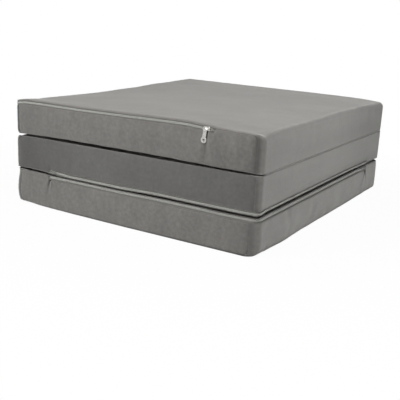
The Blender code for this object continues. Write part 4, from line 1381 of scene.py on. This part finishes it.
class MATTRESS_OT_hinges(Operator):
    """Build the doubled velour strips that hinge the sections"""

    bl_idname = "mattress.hinges"
    bl_label = "Fold hinges"

    def execute(self, context):
        sizes, colours = context.scene.mattress_sizes, context.scene.mattress_colours
        # The hinge strips take the lighter copy of the velour, painted light along the folds
        velour = velour_material("brushed_velour_strip", colours.strip_velour_painted_light, 0.04, 0.06)
        folds = (
            ("lower_hinge_strip", -1, 0, "foot", "middle"),
            ("upper_hinge_strip", 1, 1, "middle", "head"),
        )
        for node, end, level, below, above in folds:
            height = (level + 1) * sizes.thickness + (level + 0.5) * sizes.fold_gap
            beside = [(Section(below, sizes), 1), (Section(above, sizes), -1)]
            mesh = loft_mesh(node, hinge_rings(sizes, end, height, beside))
            piece = add_piece(node + "_velour", mesh, None, velour, [node])
            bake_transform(piece)
        return {"FINISHED"}


def hinge_rings(sizes, end, height, beside):
    """A strip's outlines across the mattress: two legs in the fold and a bend at its edge."""
    outer = sizes.fold_gap / 2 - HINGE_ROOM
    inner = outer - HINGE_FABRIC
    tip = sizes.section_length / 2 - HINGE_LEG
    bend = sizes.section_length / 2 + HINGE_PROUD - outer
    turns = np.linspace(-math.pi / 2, math.pi / 2, 13)
    outline = [(tip, -outer)]
    outline += [(bend + outer * math.cos(turn), outer * math.sin(turn)) for turn in turns]
    outline += [(tip, outer), (tip, inner)]
    outline += [(bend + inner * math.cos(turn), inner * math.sin(turn)) for turn in reversed(turns)]
    outline.append((tip, -inner))
    outline = np.array(outline)
    reach = sizes.width / 2 - HINGE_END
    rings = []
    for y in np.linspace(-reach, reach, HINGE_RINGS):
        into = max(abs(y) - (sizes.width / 2 - HINGE_CORNER), 0)
        drawn = HINGE_CORNER - math.sqrt(HINGE_CORNER ** 2 - into ** 2) + HINGE_PLAY * (into > 0)
        pucker = HINGE_PUCKER * uneven(np.array([[0, y, end]]), 0.02, 7)[0]
        x = end * (outline[:, 0] - drawn + pucker * (outline[:, 0] > bend))
        across = np.full(len(outline), y)
        shift = sum(edge_shift(section, face, x, across) for section, face in beside) / 2
        rings.append(np.stack([x, across, height + outline[:, 1] + shift], axis=-1))
    return rings


class MATTRESS_OT_hardware(Operator):
    """Finish the sliders and the pull"""

    bl_idname = "mattress.hardware"
    bl_label = "Sliders and pull"

    def execute(self, context):
        colours = context.scene.mattress_colours
        nickel = plated_material("bright_nickel_plate", colours.nickel)
        lacquer = lacquer_material("sprayed_grey_lacquer", colours.lacquer)
        for node in ("head_zip_slider", "head_zip_pull"):
            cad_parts[node].material_slots[0].material = nickel
        for node in ("foot_zip_slider", "middle_zip_slider"):
            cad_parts[node].material_slots[0].material = lacquer
        return {"FINISHED"}


# The photo's camera: its direction from the stack, its distance and offsets in metres, its lens in mm
CAMERA_AZIMUTH = math.radians(30.551)
CAMERA_ELEVATION = math.radians(15.271)
CAMERA_ROLL = math.radians(2.805)
CAMERA_DISTANCE = 1.7291
CAMERA_SIDE = -0.0365
CAMERA_RISE = -0.1360
CAMERA_LENS = 60.82


def add_camera(scene):
    """The photo's camera: right of the near side, a little above the stack, slightly rolled."""
    azimuth, elevation = CAMERA_AZIMUTH, CAMERA_ELEVATION
    back = Vector((
        math.sin(azimuth) * math.cos(elevation), -math.cos(azimuth) * math.cos(elevation), math.sin(elevation)
    ))
    right = (-back).cross(Vector((0, 0, 1))).normalized()
    up = right.cross(-back)
    turned_right = math.cos(CAMERA_ROLL) * right + math.sin(CAMERA_ROLL) * up
    turned_up = math.cos(CAMERA_ROLL) * up - math.sin(CAMERA_ROLL) * right
    data = bpy.data.cameras.new("camera")
    data.lens = CAMERA_LENS
    data.sensor_width = 36.0
    data.clip_end = 50.0
    camera = bpy.data.objects.new("camera", data)
    scene.collection.objects.link(camera)
    middle = Vector((0, 0, (cad_box[0].z + cad_box[1].z) / 2))
    place = middle + CAMERA_DISTANCE * back + CAMERA_SIDE * turned_right + CAMERA_RISE * turned_up
    turned = Matrix((turned_right, turned_up, back)).transposed().to_4x4()
    camera.matrix_world = Matrix.Translation(place) @ turned
    scene.camera = camera


# Floor: half its width, and how it looks to the camera: its brightness beside the stack, and from
# and to how far off that fades to white
FLOOR_HALF = 3.0
FLOOR_NEAR_LIGHT = 0.965
FLOOR_FADE = (0.45, 1.0)


def add_floor(colours):
    """A plain white floor that keeps the stack's soft shadow and fades into the white surround."""
    corners = [(x * FLOOR_HALF, y * FLOOR_HALF, 0) for x, y in ((-1, -1), (1, -1), (1, 1), (-1, 1))]
    mesh = new_mesh("floor", corners, [(0, 1, 2, 3)])
    floor = bpy.data.objects.new("floor", mesh)
    bpy.context.scene.collection.objects.link(floor)
    made, tree, shader = new_material("matt_white_floor", 1.0)
    shader.inputs["Base Color"].default_value = (*colours.floor, 1)
    shader.inputs["Specular IOR Level"].default_value = 0.0
    mesh.materials.append(made)
    place = add_node(tree, "ShaderNodeTexCoord").outputs["Object"]
    away = add_node(tree, "ShaderNodeVectorMath", {"operation": "LENGTH"}, i0=place)
    fade_from, fade_to = FLOOR_FADE
    plain = add_node(
        tree, "ShaderNodeMapRange", i0=away.outputs["Value"], i1=fade_from, i2=fade_to,
        i3=FLOOR_NEAR_LIGHT, i4=1.0,
    )
    rays = add_node(tree, "ShaderNodeLightPath")
    to_camera = rays.outputs["Is Camera Ray"]
    seen = add_node(
        tree, "ShaderNodeMath", {"operation": "MULTIPLY"}, i0=to_camera, i1=plain.outputs["Result"]
    )
    glow = add_node(tree, "ShaderNodeEmission", Color=(1, 1, 1, 1), Strength=1.0)
    mixed = add_node(
        tree, "ShaderNodeMixShader", i0=seen.outputs["Value"], i1=shader.outputs["BSDF"],
        i2=glow.outputs["Emission"],
    )
    tree.links.new(mixed.outputs["Shader"], tree.nodes["Material Output"].inputs["Surface"])


# Lamps: where each stands, its side in metres and its power in watts. All aim at LIGHT_AIM.
LIGHTS = {
    "overhead_softbox": dict(place=(0.75, -0.95, 1.9), size=1.6, power=44.0),
    "front_softbox": dict(place=(-0.9, -2.0, 1.8), size=1.0, power=43.0),
    "back_fill": dict(place=(-1.5, 2.0, 0.13), size=0.22, power=12.0),
}
LIGHT_AIM = (0, 0, 0.12)
SURROUND_LIGHT = 0.004


def add_lights(scene):
    """Soft boxes over and beside the stack, and an even pale surround."""
    for name, facts in LIGHTS.items():
        data = bpy.data.lights.new(name, "AREA")
        data.shape = "SQUARE"
        data.size = facts["size"]
        data.energy = facts["power"]
        lamp = bpy.data.objects.new(name, data)
        lamp.location = facts["place"]
        lamp.visible_camera = False
        lamp.rotation_euler = (Vector(LIGHT_AIM) - lamp.location).to_track_quat("-Z", "Y").to_euler()
        scene.collection.objects.link(lamp)
    world = bpy.data.worlds.new("surround")
    world.use_nodes = True
    tree = world.node_tree
    background = tree.nodes["Background"]
    background.inputs["Color"].default_value = (1, 1, 1, 1)
    rays = add_node(tree, "ShaderNodeLightPath")
    to_camera, to_metal = rays.outputs["Is Camera Ray"], rays.outputs["Is Glossy Ray"]
    seen = add_node(tree, "ShaderNodeMath", {"operation": "MAXIMUM"}, i0=to_camera, i1=to_metal)
    strength = add_node(tree, "ShaderNodeMapRange", i0=seen.outputs["Value"], i3=SURROUND_LIGHT, i4=1.0)
    tree.links.new(strength.outputs["Result"], background.inputs["Strength"])
    scene.world = world


class MATTRESS_OT_stage(Operator):
    """Set the floor, the soft light and the camera"""

    bl_idname = "mattress.stage"
    bl_label = "Stage"

    def execute(self, context):
        scene = context.scene
        add_floor(scene.mattress_colours)
        add_lights(scene)
        add_camera(scene)
        scene.view_settings.view_transform = "Standard"
        return {"FINISHED"}


OPERATORS = (
    MATTRESS_OT_stage, MATTRESS_OT_foam, MATTRESS_OT_covers, MATTRESS_OT_zips, MATTRESS_OT_hinges,
    MATTRESS_OT_hardware,
)


class MATTRESS_PT_panel(Panel):
    """Lists the mattress's builders, sizes and colours"""

    bl_idname = "MATTRESS_PT_panel"
    bl_label = "Folding mattress"
    bl_space_type = "VIEW_3D"
    bl_region_type = "UI"
    bl_category = "Mattress"

    def draw(self, context):
        for operator in OPERATORS:
            self.layout.operator(operator.bl_idname)
        for group in (context.scene.mattress_sizes, context.scene.mattress_colours):
            for key in group.bl_rna.properties.keys():
                if key not in ("rna_type", "name"):
                    self.layout.prop(group, key)


CLASSES = (MattressSizes, MattressColours, *OPERATORS, MATTRESS_PT_panel)


def register():
    """Adds the classes and the scene's sizes and colours."""
    for made in CLASSES:
        bpy.utils.register_class(made)
    bpy.types.Scene.mattress_sizes = PointerProperty(type=MattressSizes)
    bpy.types.Scene.mattress_colours = PointerProperty(type=MattressColours)


def unregister():
    """Takes away what register added."""
    del bpy.types.Scene.mattress_sizes
    del bpy.types.Scene.mattress_colours
    for made in reversed(CLASSES):
        bpy.utils.unregister_class(made)


def main():
    """Builds every piece in order."""
    register()
    bpy.ops.mattress.stage()
    bpy.ops.mattress.foam()
    bpy.ops.mattress.covers()
    bpy.ops.mattress.zips()
    bpy.ops.mattress.hinges()
    bpy.ops.mattress.hardware()


if __name__ == "__main__":
    main()
